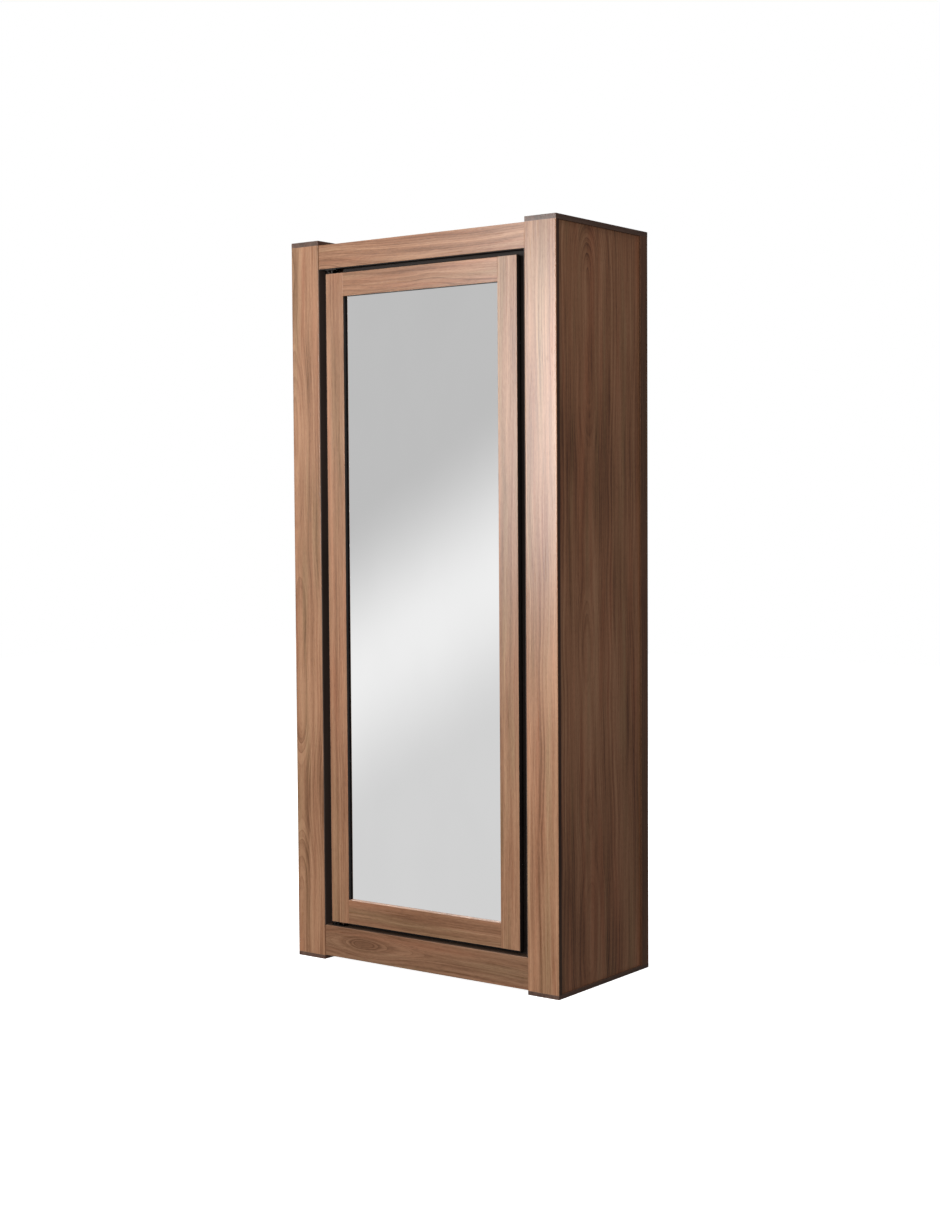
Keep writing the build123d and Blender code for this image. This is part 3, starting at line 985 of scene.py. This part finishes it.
# Browner and lighter than the other liners: painted light on the bottom liner's lit top face.
LIT_BOTTOM_BLACK = Laminate(colour=screen(66, 50, 40), rubbed=screen(98, 75, 60))
MIRROR = Silvering(silver=(0.93, 0.93, 0.93), edge=screen(96, 128, 112))
STEEL = Metal(colour=screen(198, 196, 190))
BLACK_STEEL = Metal(colour=screen(52, 49, 47), shine=0.4)
NICKEL = Metal(colour=screen(176, 172, 164), shine=0.2)
NYLON = Plastic(colour=screen(226, 222, 208), shine=0.42, glow=0.15)
SOFT_DISC = Plastic(colour=screen(214, 214, 208), shine=0.25, glow=0.35)


def dress(node: str, finish: Finish, easing: float = 0.0) -> str:
    """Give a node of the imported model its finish, and soften its arrises.

    Args:
        node: The node's name.
        finish: What it is made of.
        easing: The radius that its arrises are eased to, in metres, or 0 to leave them.

    Returns:
        The node's name.
    """
    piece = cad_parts[node]
    material = finish.material(node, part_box(node))
    for slot in piece.material_slots:
        slot.material = material
    if easing:
        weld = piece.modifiers.new("joined corners", "WELD")
        weld.merge_threshold = WELD_REACH
        bevel = piece.modifiers.new("eased arrises", "BEVEL")
        bevel.width = easing
        bevel.segments = 2
        bevel.limit_method = "ANGLE"
        bevel.angle_limit = SAWN_ANGLE
        bevel.use_clamp_overlap = True
        shading = piece.modifiers.new("flat faces", "WEIGHTED_NORMAL")
        shading.weight = 100
    return node


class Fitting:
    """A small piece made in mesh code, built up in the cabinet's own frame."""

    def __init__(self, name: str) -> None:
        """Start an empty piece.

        Args:
            name: The piece's name.
        """
        self.name = name
        self.mesh = bmesh.new()

    def ring(self, place: Matrix, radius: float, height: float, sides: int) -> list[bmesh.types.BMVert]:
        """A ring of points round a fitting's axis.

        Args:
            place: The fitting's own frame, with its axis as Z.
            radius: The ring's radius, or 0 for a single point.
            height: Its place on the axis.
            sides: How many points it has.

        Returns:
            The points.
        """
        if radius == 0:
            return [self.mesh.verts.new(place @ Vector((0, 0, height)))]
        turns = (2 * math.pi * index / sides for index in range(sides))
        return [
            self.mesh.verts.new(place @ Vector((radius * math.cos(turn), radius * math.sin(turn), height)))
            for turn in turns
        ]

    def turn(
        self, place: Matrix, outline: Sequence[tuple[float, float]], sides: int = 24
    ) -> list[bmesh.types.BMVert]:
        """Turn an outline about an axis, as on a lathe.

        Args:
            place: The fitting's own frame, with its axis as Z.
            outline: Radius and height of each corner of the outline, in metres.
            sides: How many sides it gets.

        Returns:
            The last ring, left open where its radius isn't 0.
        """
        rings = [self.ring(place, radius, height, sides) for radius, height in outline]
        for lower, upper in zip(rings, rings[1:]):
            for index in range(sides):
                following = (index + 1) % sides
                corners = [lower[index % len(lower)], lower[following % len(lower)]]
                corners += [upper[following % len(upper)], upper[index % len(upper)]]
                self.mesh.faces.new(list(dict.fromkeys(corners)))
        return rings[-1]

    def cross_recess(
        self, place: Matrix, rim: Sequence[bmesh.types.BMVert], radius: float, height: float
    ) -> None:
        """Close the top of a screw's head with a cross recess.

        Args:
            place: The screw's own frame, with its axis as Z.
            rim: The open ring at the top of the head.
            radius: How far the arms of the cross reach.
            height: The height of the top face.
        """
        arm = 0.26 * radius
        taper = 0.55
        base = height - radius
        quarter = [(radius, -arm), (radius, arm), (arm, arm)]
        outline = [
            (x * math.cos(turn) - y * math.sin(turn), x * math.sin(turn) + y * math.cos(turn))
            for turn in (0, math.pi / 2, math.pi, 3 * math.pi / 2)
            for x, y in quarter
        ]
        top = [self.mesh.verts.new(place @ Vector((x, y, height))) for x, y in outline]
        floor = [self.mesh.verts.new(place @ Vector((taper * x, taper * y, base))) for x, y in outline]
        edges = []
        for loop in (rim, top):
            for first, second in zip(loop, [*loop[1:], loop[0]]):
                edges.append(self.mesh.edges.get((first, second)) or self.mesh.edges.new((first, second)))
        bmesh.ops.triangle_fill(self.mesh, edges=edges, use_beauty=True)
        for index in range(len(top)):
            following = (index + 1) % len(top)
            self.mesh.faces.new((top[index], top[following], floor[following], floor[index]))
        self.mesh.faces.new(floor)

    def finish(self, finish: Finish, body: Body, slot: str) -> str:
        """Turn the piece into an object that rides on its body.

        Args:
            finish: What it is made of.
            body: The body that carries it.
            slot: The record's material slot that its finish stands for; not used.

        Returns:
            The piece's name.
        """
        bmesh.ops.recalc_face_normals(self.mesh, faces=self.mesh.faces)
        mesh = bpy.data.meshes.new(self.name)
        self.mesh.to_mesh(mesh)
        self.mesh.free()
        for polygon in mesh.polygons:
            polygon.use_smooth = True
        mesh.set_sharp_from_angle(angle=CREASE_ANGLE)
        piece = bpy.data.objects.new(self.name, mesh)
        bpy.context.scene.collection.objects.link(piece)
        corners = [vertex.co for vertex in mesh.vertices]
        box = (
            Vector(min(corner[axis] for corner in corners) for axis in range(3)),
            Vector(max(corner[axis] for corner in corners) for axis in range(3)),
        )
        mesh.materials.append(finish.material(self.name, box))
        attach(piece, body.value)
        return self.name


def standing(point: Sequence[float], towards: Sequence[float]) -> Matrix:
    """The frame of a fitting whose axis points a given way.

    Args:
        point: Where the fitting sits.
        towards: The way that its Z points.

    Returns:
        The matrix that carries the fitting there.
    """
    turn = Vector((0, 0, 1)).rotation_difference(Vector(towards))
    return Matrix.Translation(Vector(point)) @ turn.to_matrix().to_4x4()


class SubAssembly(ABC):
    """One part of the cabinet, which dresses its nodes and makes what they lack."""

    @abstractmethod
    def build(self) -> Iterator[str]:
        """Dress and make the pieces.

        Returns:
            The name of each piece, as it is done.
        """


@dataclass
class Columns(SubAssembly):
    """The two hollow side columns.

    Attributes:
        easing: The radius of the boards' sawn arrises.
        left_figure: The grain of the left front post.
        outer_figure: The grain of the outer side panels, with long eyes one above the other.
        right_tone: The right front post's brightness beside the other boards.
        outer_shade_tone: How much darker the outer side panels are painted: painted shade of the side that
            faces away from the key light.
        contrast: How strongly the rings of posts and outer panels show.
        mottle: How strongly their broad streaks show.
    """

    easing: float = 0.4 * MILLIMETRE
    left_figure: Figure = Figure(
        heart_across=0.03, heart_depth=0.03, lean=0.01, ring=0.008, sway=0.05, wave=0.09
    )
    outer_figure: Figure = Figure(
        heart_across=0.05, heart_depth=0.02, lean=0.0, ring=0.0075, sway=0.07, wave=0.16
    )
    right_tone: float = 1.06
    outer_shade_tone: float = 0.87
    contrast: float = 1.8
    mottle: float = 1.5

    def build(self) -> Iterator[str]:
        """Dress both columns.

        Returns:
            The name of each piece, as it is done.
        """
        inner = INSIDE_WALNUT.laid(Axis.Z, Axis.X, RIFT)
        edge = EDGE_WALNUT.laid(Axis.Z, Axis.X)
        # The outer side panels get a darker copy of the walnut: painted shade.
        outer = SHADED_SIDE_WALNUT.laid(
            Axis.Z, Axis.X, self.outer_figure, self.outer_shade_tone, self.contrast, self.mottle
        )
        for side, outward in ((Side.LEFT, -1.0), (Side.RIGHT, 1.0)):
            name = side.value
            figure, tone = (STRAIGHT, self.right_tone) if side is Side.RIGHT else (self.left_figure, 1.0)
            front = WALNUT.laid(Axis.Z, Axis.Y, figure, tone, self.contrast, self.mottle)
            yield dress(f"{name}_front_post", EdgedWood(front, edge, Axis.X, outward), self.easing)
            yield dress(f"{name}_outer_side", outer, self.easing)
            yield dress(f"{name}_rear_stile", DARK_WALNUT.laid(Axis.Z, Axis.X), self.easing)
            for plate in EndPlate:
                yield dress(f"{name}_{plate.value}_plate", SMOKED_WALNUT.laid(Axis.Y, Axis.Z), self.easing)
            yield dress(f"{name}_inner_side", inner)
            yield dress(f"{name}_rear_board", INSIDE_WALNUT.laid(Axis.Z, Axis.Y, RIFT), self.easing)


@dataclass
class Carcase(SubAssembly):
    """Rails, panels and back between the columns.

    Attributes:
        easing: The radius of the boards' sawn arrises.
        top_figure: The grain of the top rail, which sweeps past a knot at its left end.
        bottom_figure: The grain of the bottom rail, with a knot near its left end.
        bottom_tone: The bottom rail's brightness beside the other boards.
        rail_contrast: How strongly the rings of both rails show.
    """

    easing: float = 0.4 * MILLIMETRE
    top_figure: Figure = Figure(
        heart_across=-0.12,
        heart_depth=0.08,
        ring=0.010,
        knots=(Knot(along=-0.30, across=-0.040, width=0.030, before=0.05, after=0.11),),
    )
    bottom_figure: Figure = Figure(
        heart_across=0.09,
        heart_depth=0.06,
        ring=0.0055,
        knots=(Knot(along=-0.195, across=0.002, width=0.029, before=0.085, after=0.13, core=0.8),),
    )
    bottom_tone: float = 0.70
    rail_contrast: float = 1.9

    def build(self) -> Iterator[str]:
        """Dress the boards between the columns.

        Returns:
            The name of each piece, as it is done.
        """
        top = WALNUT.laid(Axis.X, Axis.Y, self.top_figure, contrast=self.rail_contrast)
        yield dress("top_rail", top, self.easing)
        bottom = WALNUT.laid(Axis.X, Axis.Y, self.bottom_figure, self.bottom_tone, self.rail_contrast)
        yield dress("bottom_rail", bottom, self.easing)
        level = INSIDE_WALNUT.laid(Axis.X, Axis.Z, RIFT)
        for node in ("top_panel", "bottom_panel"):
            yield dress(node, level, self.easing)
        for node in ("rear_stretcher", "rear_plinth"):
            yield dress(node, INSIDE_WALNUT.laid(Axis.X, Axis.Y, RIFT))
        for node in ("upper_back_panel", "lower_back_panel"):
            yield dress(node, BACK_BOARD)


@dataclass
class Shelving(SubAssembly):
    """The fixed shelf, the adjustable shelves and their pins.

    Attributes:
        adjustable: How many adjustable shelves there are.
        easing: The radius of the boards' sawn arrises.
    """

    adjustable: int = 4
    easing: float = 0.4 * MILLIMETRE

    def build(self) -> Iterator[str]:
        """Dress shelves and pins.

        Returns:
            The name of each piece, as it is done.
        """
        level = INSIDE_WALNUT.laid(Axis.X, Axis.Z, RIFT)
        yield dress("fixed_shelf", level, self.easing)
        for number in range(1, self.adjustable + 1):
            yield dress(f"adjustable_shelf_{number}", level, self.easing)
        yield dress("shelf_pins", STEEL)


@dataclass
class Reveal(SubAssembly):
    """The black lining round the door, and the strips that stop it.

    Attributes:
        upright_liner: The finish of the two upright liners.
        top_liner: The finish of the top liner.
        lit_bottom_liner: The finish of the bottom liner, browner and lighter than the others: painted light
            on its top face, which the key light reaches.
        strip: The finish of the stop strips.
    """

    upright_liner: Laminate = BLACK
    top_liner: Laminate = BAND_BLACK
    lit_bottom_liner: Laminate = LIT_BOTTOM_BLACK
    strip: Laminate = BAND_BLACK

    def build(self) -> Iterator[str]:
        """Dress lining and stops.

        Returns:
            The name of each piece, as it is done.
        """
        # The bottom liner takes the lighter brown laminate: painted light.
        level_liners = {Edge.TOP: self.top_liner, Edge.BOTTOM: self.lit_bottom_liner}
        for edge in Edge:
            yield dress(f"{edge.value}_reveal_liner", level_liners.get(edge, self.upright_liner))
            yield dress(f"{edge.value}_stop_strip", self.strip)


@dataclass
class DoorFrame(SubAssembly):
    """The door's stiles, rails and black edge bands.

    Attributes:
        easing: The radius of the frame's sawn arrises, at the joints too.
        top_figure: The grain of the top rail.
        bottom_tone: The bottom rail's brightness beside the other boards.
        stile_tone: The brightness of both stiles.
        top_contrast: How strongly the rings of the top rail show.
    """

    easing: float = 0.3 * MILLIMETRE
    top_figure: Figure = Figure(
        heart_across=0.10,
        heart_depth=0.07,
        ring=0.010,
        sway=0.08,
        knots=(Knot(along=0.02, across=-0.036, width=0.022, before=0.12, after=0.09),),
    )
    bottom_tone: float = 0.87
    stile_tone: float = 0.96
    top_contrast: float = 1.7

    def build(self) -> Iterator[str]:
        """Dress the frame.

        Returns:
            The name of each piece, as it is done.
        """
        for side, figure in ((Side.LEFT, STRAIGHT), (Side.RIGHT, RIFT)):
            stile = WALNUT.laid(Axis.Z, Axis.Y, figure, self.stile_tone)
            yield dress(f"{side.value}_door_stile", stile, self.easing)
        top = WALNUT.laid(Axis.X, Axis.Y, self.top_figure, contrast=self.top_contrast)
        yield dress("top_door_rail", top, self.easing)
        bottom = WALNUT.laid(Axis.X, Axis.Y, RIFT, self.bottom_tone)
        yield dress("bottom_door_rail", bottom, self.easing)
        yield dress("door_edge_bands", BAND_BLACK)


@dataclass
class MirrorPanel(SubAssembly):
    """The mirror in its black lip, the board behind it, and the beads that hold both.

    Attributes:
        pin_spacing: The distance between the panel pins in the beads.
        pin_radius: The radius of a panel pin's head.
        pin_head: The thickness of a panel pin's head.
        pin_length: The length of its shank.
        end_distance: How far the first pin is from a bead's end.
        bead_middle: How far the line of pins is from a bead's outer edge.
    """

    pin_spacing: float = 150 * MILLIMETRE
    pin_radius: float = 0.9 * MILLIMETRE
    pin_head: float = 0.3 * MILLIMETRE
    pin_length: float = 4 * MILLIMETRE
    end_distance: float = 30 * MILLIMETRE
    bead_middle: float = 4 * MILLIMETRE

    def _stations(self, low: float, high: float) -> list[float]:
        """Spread the pins evenly along a bead.

        Args:
            low: The bead's low end.
            high: Its high end.

        Returns:
            The places of its pins.
        """
        run = high - low - 2 * self.end_distance
        count = max(1, round(run / self.pin_spacing))
        return [low + self.end_distance + run * index / count for index in range(count + 1)]

    def panel_pins(self) -> str:
        """Make the panel pins along all four beads.

        Returns:
            The piece's name.
        """
        low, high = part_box("backing_beads")
        bead = self.bead_middle
        places = [(x, z) for x in (low.x + bead, high.x - bead) for z in self._stations(low.z, high.z)]
        places += [(x, z) for z in (low.z + bead, high.z - bead) for x in self._stations(low.x, high.x)]
        pins = Fitting("bead_pins")
        shank = 0.5 * self.pin_radius
        outline = (
            (0, -self.pin_length),
            (shank, -0.7 * self.pin_length),
            (shank, 0),
            (self.pin_radius, 0),
            (self.pin_radius, 0.6 * self.pin_head),
            (0.7 * self.pin_radius, self.pin_head),
            (0, self.pin_head),
        )
        for x, z in places:
            pins.turn(standing((x, high.y, z), (0, 1, 0)), outline, sides=12)
        return pins.finish(STEEL, Body.DOOR, "steel")

    def build(self) -> Iterator[str]:
        """Dress the mirror and its backing, and make the panel pins.

        Returns:
            The name of each piece, as it is done.
        """
        yield dress("mirror_glass", MIRROR)
        yield dress("mirror_lip", LIP_BLACK)
        yield dress("mirror_backing", BACK_BOARD)
        yield dress("backing_beads", BEECH)
        yield self.panel_pins()


@dataclass
class Pivots(SubAssembly):
    """Plates, pins and bushes that the door turns on, with the plates' screws.

    Attributes:
        screw_spacing: The distance between a plate's two screws.
        head_radius: The radius of a screw's head.
        head_height: Its height.
        shank_radius: The radius of the shank.
        shank_length: The length of the shank below the head.
    """

    screw_spacing: float = 28 * MILLIMETRE
    head_radius: float = 3.3 * MILLIMETRE
    head_height: float = 1.9 * MILLIMETRE
    shank_radius: float = 1.6 * MILLIMETRE
    shank_length: float = 14 * MILLIMETRE

    def _screw(self, fitting: Fitting, place: Matrix) -> None:
        """Add one pan-head screw to a fitting.

        Args:
            fitting: The piece that it becomes part of.
            place: The screw's own frame, with its axis as Z and the head's underside at 0.
        """
        top = 0.62 * self.head_radius
        outline = (
            (0, -self.shank_length),
            (self.shank_radius, -0.8 * self.shank_length),
            (self.shank_radius, 0),
            (self.head_radius, 0),
            (self.head_radius, 0.45 * self.head_height),
            (0.88 * self.head_radius, 0.82 * self.head_height),
            (top, self.head_height),
        )
        rim = fitting.turn(place, outline)
        fitting.cross_recess(place, rim, 0.8 * top, self.head_height)

    def screws(self, level: Level) -> str:
        """Make the two screws of one plate.

        Args:
            level: The plate's end of the pivot line.

        Returns:
            The piece's name.
        """
        low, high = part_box(f"{level.value}_pivot_plate")
        middle = (low + high) / 2
        towards_door, face = (1.0, high.z) if level is Level.LOWER else (-1.0, low.z)
        fitting = Fitting(f"{level.value}_pivot_screws")
        for side in (-1, 1):
            point = (middle.x + side * self.screw_spacing / 2, middle.y, face)
            self._screw(fitting, standing(point, (0, 0, towards_door)))
        return fitting.finish(BLACK_STEEL, Body.CABINET, "black_steel")

    def build(self) -> Iterator[str]:
        """Dress the pivots and make their screws.

        Returns:
            The name of each piece, as it is done.
        """
        for level in Level:
            yield dress(f"{level.value}_pivot_plate", BLACK_STEEL)
            yield dress(f"{level.value}_pivot_pin", BLACK_STEEL)
            yield dress(f"{level.value}_pivot_bush", NYLON)
            yield self.screws(level)


@dataclass
class Catches(SubAssembly):
    """Magnets, strike plates and soft discs that meet at the closed door.

    Attributes:
        screw_inset: How far the strike plates' screws are from the plates' ends.
        head_radius: The radius of a screw's head.
        head_height: How far the head stands proud of the plate.
        plate_height: The height of a strike plate.
    """

    screw_inset: float = 6 * MILLIMETRE
    head_radius: float = 2.6 * MILLIMETRE
    head_height: float = 0.25 * MILLIMETRE
    plate_height: float = 12 * MILLIMETRE

    def strike_screws(self) -> str:
        """Make the countersunk screws of both strike plates.

        Returns:
            The piece's name.
        """
        low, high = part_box("strike_plates")
        screws = Fitting("strike_screws")
        outline = (
            (0, -3 * self.head_radius),
            (0.5 * self.head_radius, -2.4 * self.head_radius),
            (0.5 * self.head_radius, -0.5 * self.head_radius),
            (self.head_radius, 0),
            (0.97 * self.head_radius, 0.6 * self.head_height),
            (0.8 * self.head_radius, self.head_height),
        )
        for z in (low.z + self.plate_height / 2, high.z - self.plate_height / 2):
            for x in (low.x + self.screw_inset, high.x - self.screw_inset):
                place = standing((x, high.y, z), (0, 1, 0))
                rim = screws.turn(place, outline, sides=20)
                screws.cross_recess(place, rim, 0.55 * self.head_radius, self.head_height)
        return screws.finish(STEEL, Body.DOOR, "steel")

    def build(self) -> Iterator[str]:
        """Dress the catches and make their screws.

        Returns:
            The name of each piece, as it is done.
        """
        yield dress("catch_magnets", NICKEL)
        yield dress("strike_plates", STEEL)
        yield dress("door_bumpers", SOFT_DISC)
        yield self.strike_screws()


@dataclass(frozen=True)
class Lamp:
    """One soft light.

    Attributes:
        aim: What it points at.
        size: Its width and height.
        power: Its power in watts.
        place: Where it stands, or None where it stands in the camera's mirrored line of sight.
        distance: How far it stands from its aim, where it has no place of its own.
        mirrored: Whether surfaces show its reflection.
    """

    aim: tuple[float, float, float]
    size: tuple[float, float]
    power: float
    place: tuple[float, float, float] | None = None
    distance: float = 0.0
    mirrored: bool = True


@dataclass
class Studio:
    """Floor, light, reflector card and camera.

    Attributes:
        camera_place: Where the camera stands.
        azimuth: How far it stands round to the right of the front, in degrees.
        elevation: How far it looks down, in degrees.
        roll: How far it is rolled, in degrees.
        focal_length: The distance from lens to image, in pixels of the image.
        image_height: The height of the image, in pixels.
        lamps: The lights, by name.
        surround: How bright the surround is to matt surfaces.
        sheen: How bright it is to glossy ones.
        floor_glow: How brightly the floor glows by itself.
        card_depth: The plane of the reflector card.
        band_slope: How fast the card's bright band climbs to the right.
        band_middle: The heights that the band's brightest part lies between, in the card's middle.
        band_fade: How far the band fades out below and above those.
        band_levels: How bright the card is below the band, in it and above it, from 0 to 255.
        band_repeat: The heights between which the card's pattern lies before it starts again.
        made: The names of what it made.
    """

    camera_place: tuple[float, float, float] = (2.8461, -3.8204, 1.1291)
    azimuth: float = 36.6481
    elevation: float = 2.8949
    roll: float = -0.3681
    focal_length: float = 1916.54
    image_height: int = 1215
    lamps: dict[str, Lamp] = field(
        default_factory=lambda: {
            "strip": Lamp(aim=(0.58, -0.198, 1.37), size=(0.30, 1.40), power=72.0, distance=3.4),
            "soft_box": Lamp(aim=(-0.05, -0.198, 1.65), size=(2.0, 1.4), power=10.0, distance=3.0),
            "wash": Lamp(
                aim=(0.0, -0.2, 1.0), size=(1.2, 1.2), power=52.0, place=(1.5, -3.0, 1.7), mirrored=False
            ),
            "overhead": Lamp(aim=(0.2, -0.8, 0.0), size=(3.0, 3.0), power=55.0, place=(0.2, -0.8, 4.2)),
            "back_light": Lamp(
                aim=(0.0, 0.2, 0.9), size=(1.5, 1.5), power=60.0, place=(-0.9, 3.2, 2.4), mirrored=False
            ),
            "fill": Lamp(
                aim=(0.4, 0.0, 1.4), size=(1.0, 1.0), power=4.8, place=(3.0, 0.2, 3.0), mirrored=False
            ),
        }
    )
    surround: float = 0.165
    sheen: float = 0.08
    floor_glow: float = 0.93
    card_depth: float = -1.7
    band_slope: float = 0.58
    band_middle: tuple[float, float] = (1.40, 1.42)
    band_fade: tuple[float, float] = (0.50, 0.58)
    band_levels: tuple[int, int, int] = (210, 238, 190)
    band_repeat: tuple[float, float] = (0.10, 3.16)
    made: list[str] = field(default_factory=list)

    def set_camera(self) -> None:
        """Make the camera and make it the scene's own."""
        angles = (self.azimuth, self.elevation, self.roll)
        azimuth, elevation, roll = (math.radians(angle) for angle in angles)
        level = math.cos(elevation)
        back = Vector((math.sin(azimuth) * level, -math.cos(azimuth) * level, math.sin(elevation)))
        right = (-back).cross(Vector((0, 0, 1))).normalized()
        up = right.cross(-back)
        rolled_right = math.cos(roll) * right + math.sin(roll) * up
        rolled_up = math.cos(roll) * up - math.sin(roll) * right
        lens = bpy.data.cameras.new("camera")
        lens.sensor_fit = "VERTICAL"
        lens.sensor_height = 36.0
        lens.lens = lens.sensor_height * self.focal_length / self.image_height
        camera = bpy.data.objects.new("camera", lens)
        turn = Matrix((rolled_right, rolled_up, back)).transposed()
        camera.matrix_world = Matrix.Translation(Vector(self.camera_place)) @ turn.to_4x4()
        bpy.context.scene.collection.objects.link(camera)
        bpy.context.scene.camera = camera
        self.made.append(camera.name)

    def mirrored(self, point: Sequence[float], distance: float) -> Vector:
        """Find what a front-facing surface shows the camera.

        Args:
            point: The point of the surface.
            distance: How far from it to go.

        Returns:
            The place at that distance along the mirrored line of sight.
        """
        sight = (Vector(point) - Vector(self.camera_place)).normalized()
        return Vector(point) + distance * Vector((sight.x, -sight.y, sight.z))

    def hang_lamp(self, name: str, lamp: Lamp) -> None:
        """Make one light.

        Args:
            name: Its name.
            lamp: What it is like.
        """
        data = bpy.data.lights.new(name, "AREA")
        data.shape = "RECTANGLE"
        data.size, data.size_y = lamp.size
        data.energy = lamp.power
        light = bpy.data.objects.new(name, data)
        place = Vector(lamp.place) if lamp.place else self.mirrored(lamp.aim, lamp.distance)
        away = (place - Vector(lamp.aim)).normalized()
        light.matrix_world = Matrix.Translation(place) @ away.to_track_quat("Z", "Y").to_matrix().to_4x4()
        light.visible_glossy = lamp.mirrored
        bpy.context.scene.collection.objects.link(light)
        self.made.append(name)

    def set_world(self) -> None:
        """Make a white surround that lights the cabinet evenly and less than it shows."""
        world = bpy.data.worlds.new("surround")
        world.use_nodes = True
        nodes, links = world.node_tree.nodes, world.node_tree.links
        nodes.clear()
        path = nodes.new("ShaderNodeLightPath")
        lit: Socket | None = None
        for ray, strength in ((None, self.surround), ("Is Glossy Ray", self.sheen), ("Is Camera Ray", 1.0)):
            glow = nodes.new("ShaderNodeBackground")
            glow.inputs["Strength"].default_value = strength
            glow.inputs["Color"].default_value = (1.0, 1.0, 1.0, 1.0)
            if ray is None:
                lit = glow.outputs[0]
                continue
            choice = nodes.new("ShaderNodeMixShader")
            links.new(path.outputs[ray], choice.inputs[0])
            links.new(lit, choice.inputs[1])
            links.new(glow.outputs[0], choice.inputs[2])
            lit = choice.outputs[0]
        output = nodes.new("ShaderNodeOutputWorld")
        links.new(lit, output.inputs["Surface"])
        bpy.context.scene.world = world

    def sheet(self, name: str, corners: Sequence[tuple[float, float, float]], cuts: int) -> bpy.types.Object:
        """Make a flat stage piece.

        Args:
            name: Its name.
            corners: Its four corners, in turn.
            cuts: How many times each of its edges is cut.

        Returns:
            The piece.
        """
        builder = bmesh.new()
        builder.faces.new([builder.verts.new(corner) for corner in corners])
        bmesh.ops.subdivide_edges(builder, edges=builder.edges, cuts=cuts, use_grid_fill=True)
        mesh = bpy.data.meshes.new(name)
        builder.to_mesh(mesh)
        builder.free()
        piece = bpy.data.objects.new(name, mesh)
        bpy.context.scene.collection.objects.link(piece)
        piece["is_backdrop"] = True
        self.made.append(name)
        return piece

    def lay_floor(self, reach: float = 9.0) -> None:
        """Make the pale floor.

        Args:
            reach: How far it goes from the cabinet each way.
        """
        corners = ((-reach, -reach, 0), (reach, -reach, 0), (reach, reach, 0), (-reach, reach, 0))
        floor = self.sheet("floor", corners, cuts=8)
        floor.visible_glossy = floor.visible_diffuse = False
        tree = ShaderTree("floor_paint")
        cloud = tree.noise(tree.stretch(tree.place(), (0.8, 0.8, 0.8)), detail=2.0)
        paint = tree.mix(cloud, (0.86, 0.86, 0.86), (0.90, 0.90, 0.90))
        tree.set(Base_Color=paint, Roughness=0.9, Specular_IOR_Level=0.1)
        tree.set(Emission_Color=(1.0, 1.0, 1.0), Emission_Strength=self.floor_glow)
        floor.data.materials.append(tree.material)

    def hang_card(self, reach: float = 3.4, low: float = -0.8, high: float = 3.4) -> None:
        """Hang the card that the mirror shows: grey with one slanting bright band, seen by reflections alone.

        Args:
            reach: How far it goes to either side.
            low: Its lower edge.
            high: Its upper edge.
        """
        depth = self.card_depth
        corners = ((-reach, depth, low), (reach, depth, low), (reach, depth, high), (-reach, depth, high))
        card = self.sheet("reflector_card", corners, cuts=1)
        card.visible_camera = card.visible_diffuse = card.visible_shadow = False
        card.visible_transmission = card.visible_volume_scatter = False
        seeing = bpy.data.collections.new("what_shows_the_card")
        seeing.objects.link(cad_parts["mirror_glass"])
        card.light_linking.receiver_collection = seeing
        tree = ShaderTree("card_glow")
        x, _, z = tree.split(tree.place())
        height = tree.maths("SUBTRACT", z, tree.maths("MULTIPLY", x, self.band_slope))
        start, end = self.band_repeat
        share = tree.maths("WRAP", height, end, start)
        share = tree.maths("DIVIDE", tree.maths("SUBTRACT", share, start), end - start)
        below, brightest, above = self.band_levels
        levels = (
            (start, below),
            (self.band_middle[0] - self.band_fade[0], below),
            (self.band_middle[0], brightest),
            (self.band_middle[1], brightest),
            (self.band_middle[1] + self.band_fade[1], above),
            (end - 0.3, above),
            (end, below),
        )
        loss = MIRROR.silver[1]
        stops = [
            ((at - start) / (end - start), tuple(part / loss for part in screen(level, level, level)))
            for at, level in levels
        ]
        tree.set(Base_Color=(0.0, 0.0, 0.0), Specular_IOR_Level=0.0)
        tree.set(Emission_Color=tree.ramp(share, stops, eased=True), Emission_Strength=1.0)
        card.data.materials.append(tree.material)

    def build(self) -> list[str]:
        """Set up the whole studio.

        Returns:
            The names of what it made.
        """
        bpy.context.scene.view_settings.view_transform = "Standard"
        self.set_camera()
        self.set_world()
        for name, lamp in self.lamps.items():
            self.hang_lamp(name, lamp)
        self.lay_floor()
        self.hang_card()
        return self.made


def main() -> None:
    """Dress the cabinet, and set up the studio."""
    logging.basicConfig(level=logging.INFO, format="%(message)s")
    for part in (Columns(), Carcase(), Shelving(), Reveal(), DoorFrame(), MirrorPanel(), Pivots(), Catches()):
        for piece in part.build():
            LOG.info("%s: %s", type(part).__name__, piece)
    for name in Studio().build():
        LOG.info("Studio: %s", name)
    boxes = {"cad": modelled_box, "visual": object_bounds()}
    sizes = {name: [list(corner) for corner in box] for name, box in boxes.items()}


if __name__ == "__main__":
    main()
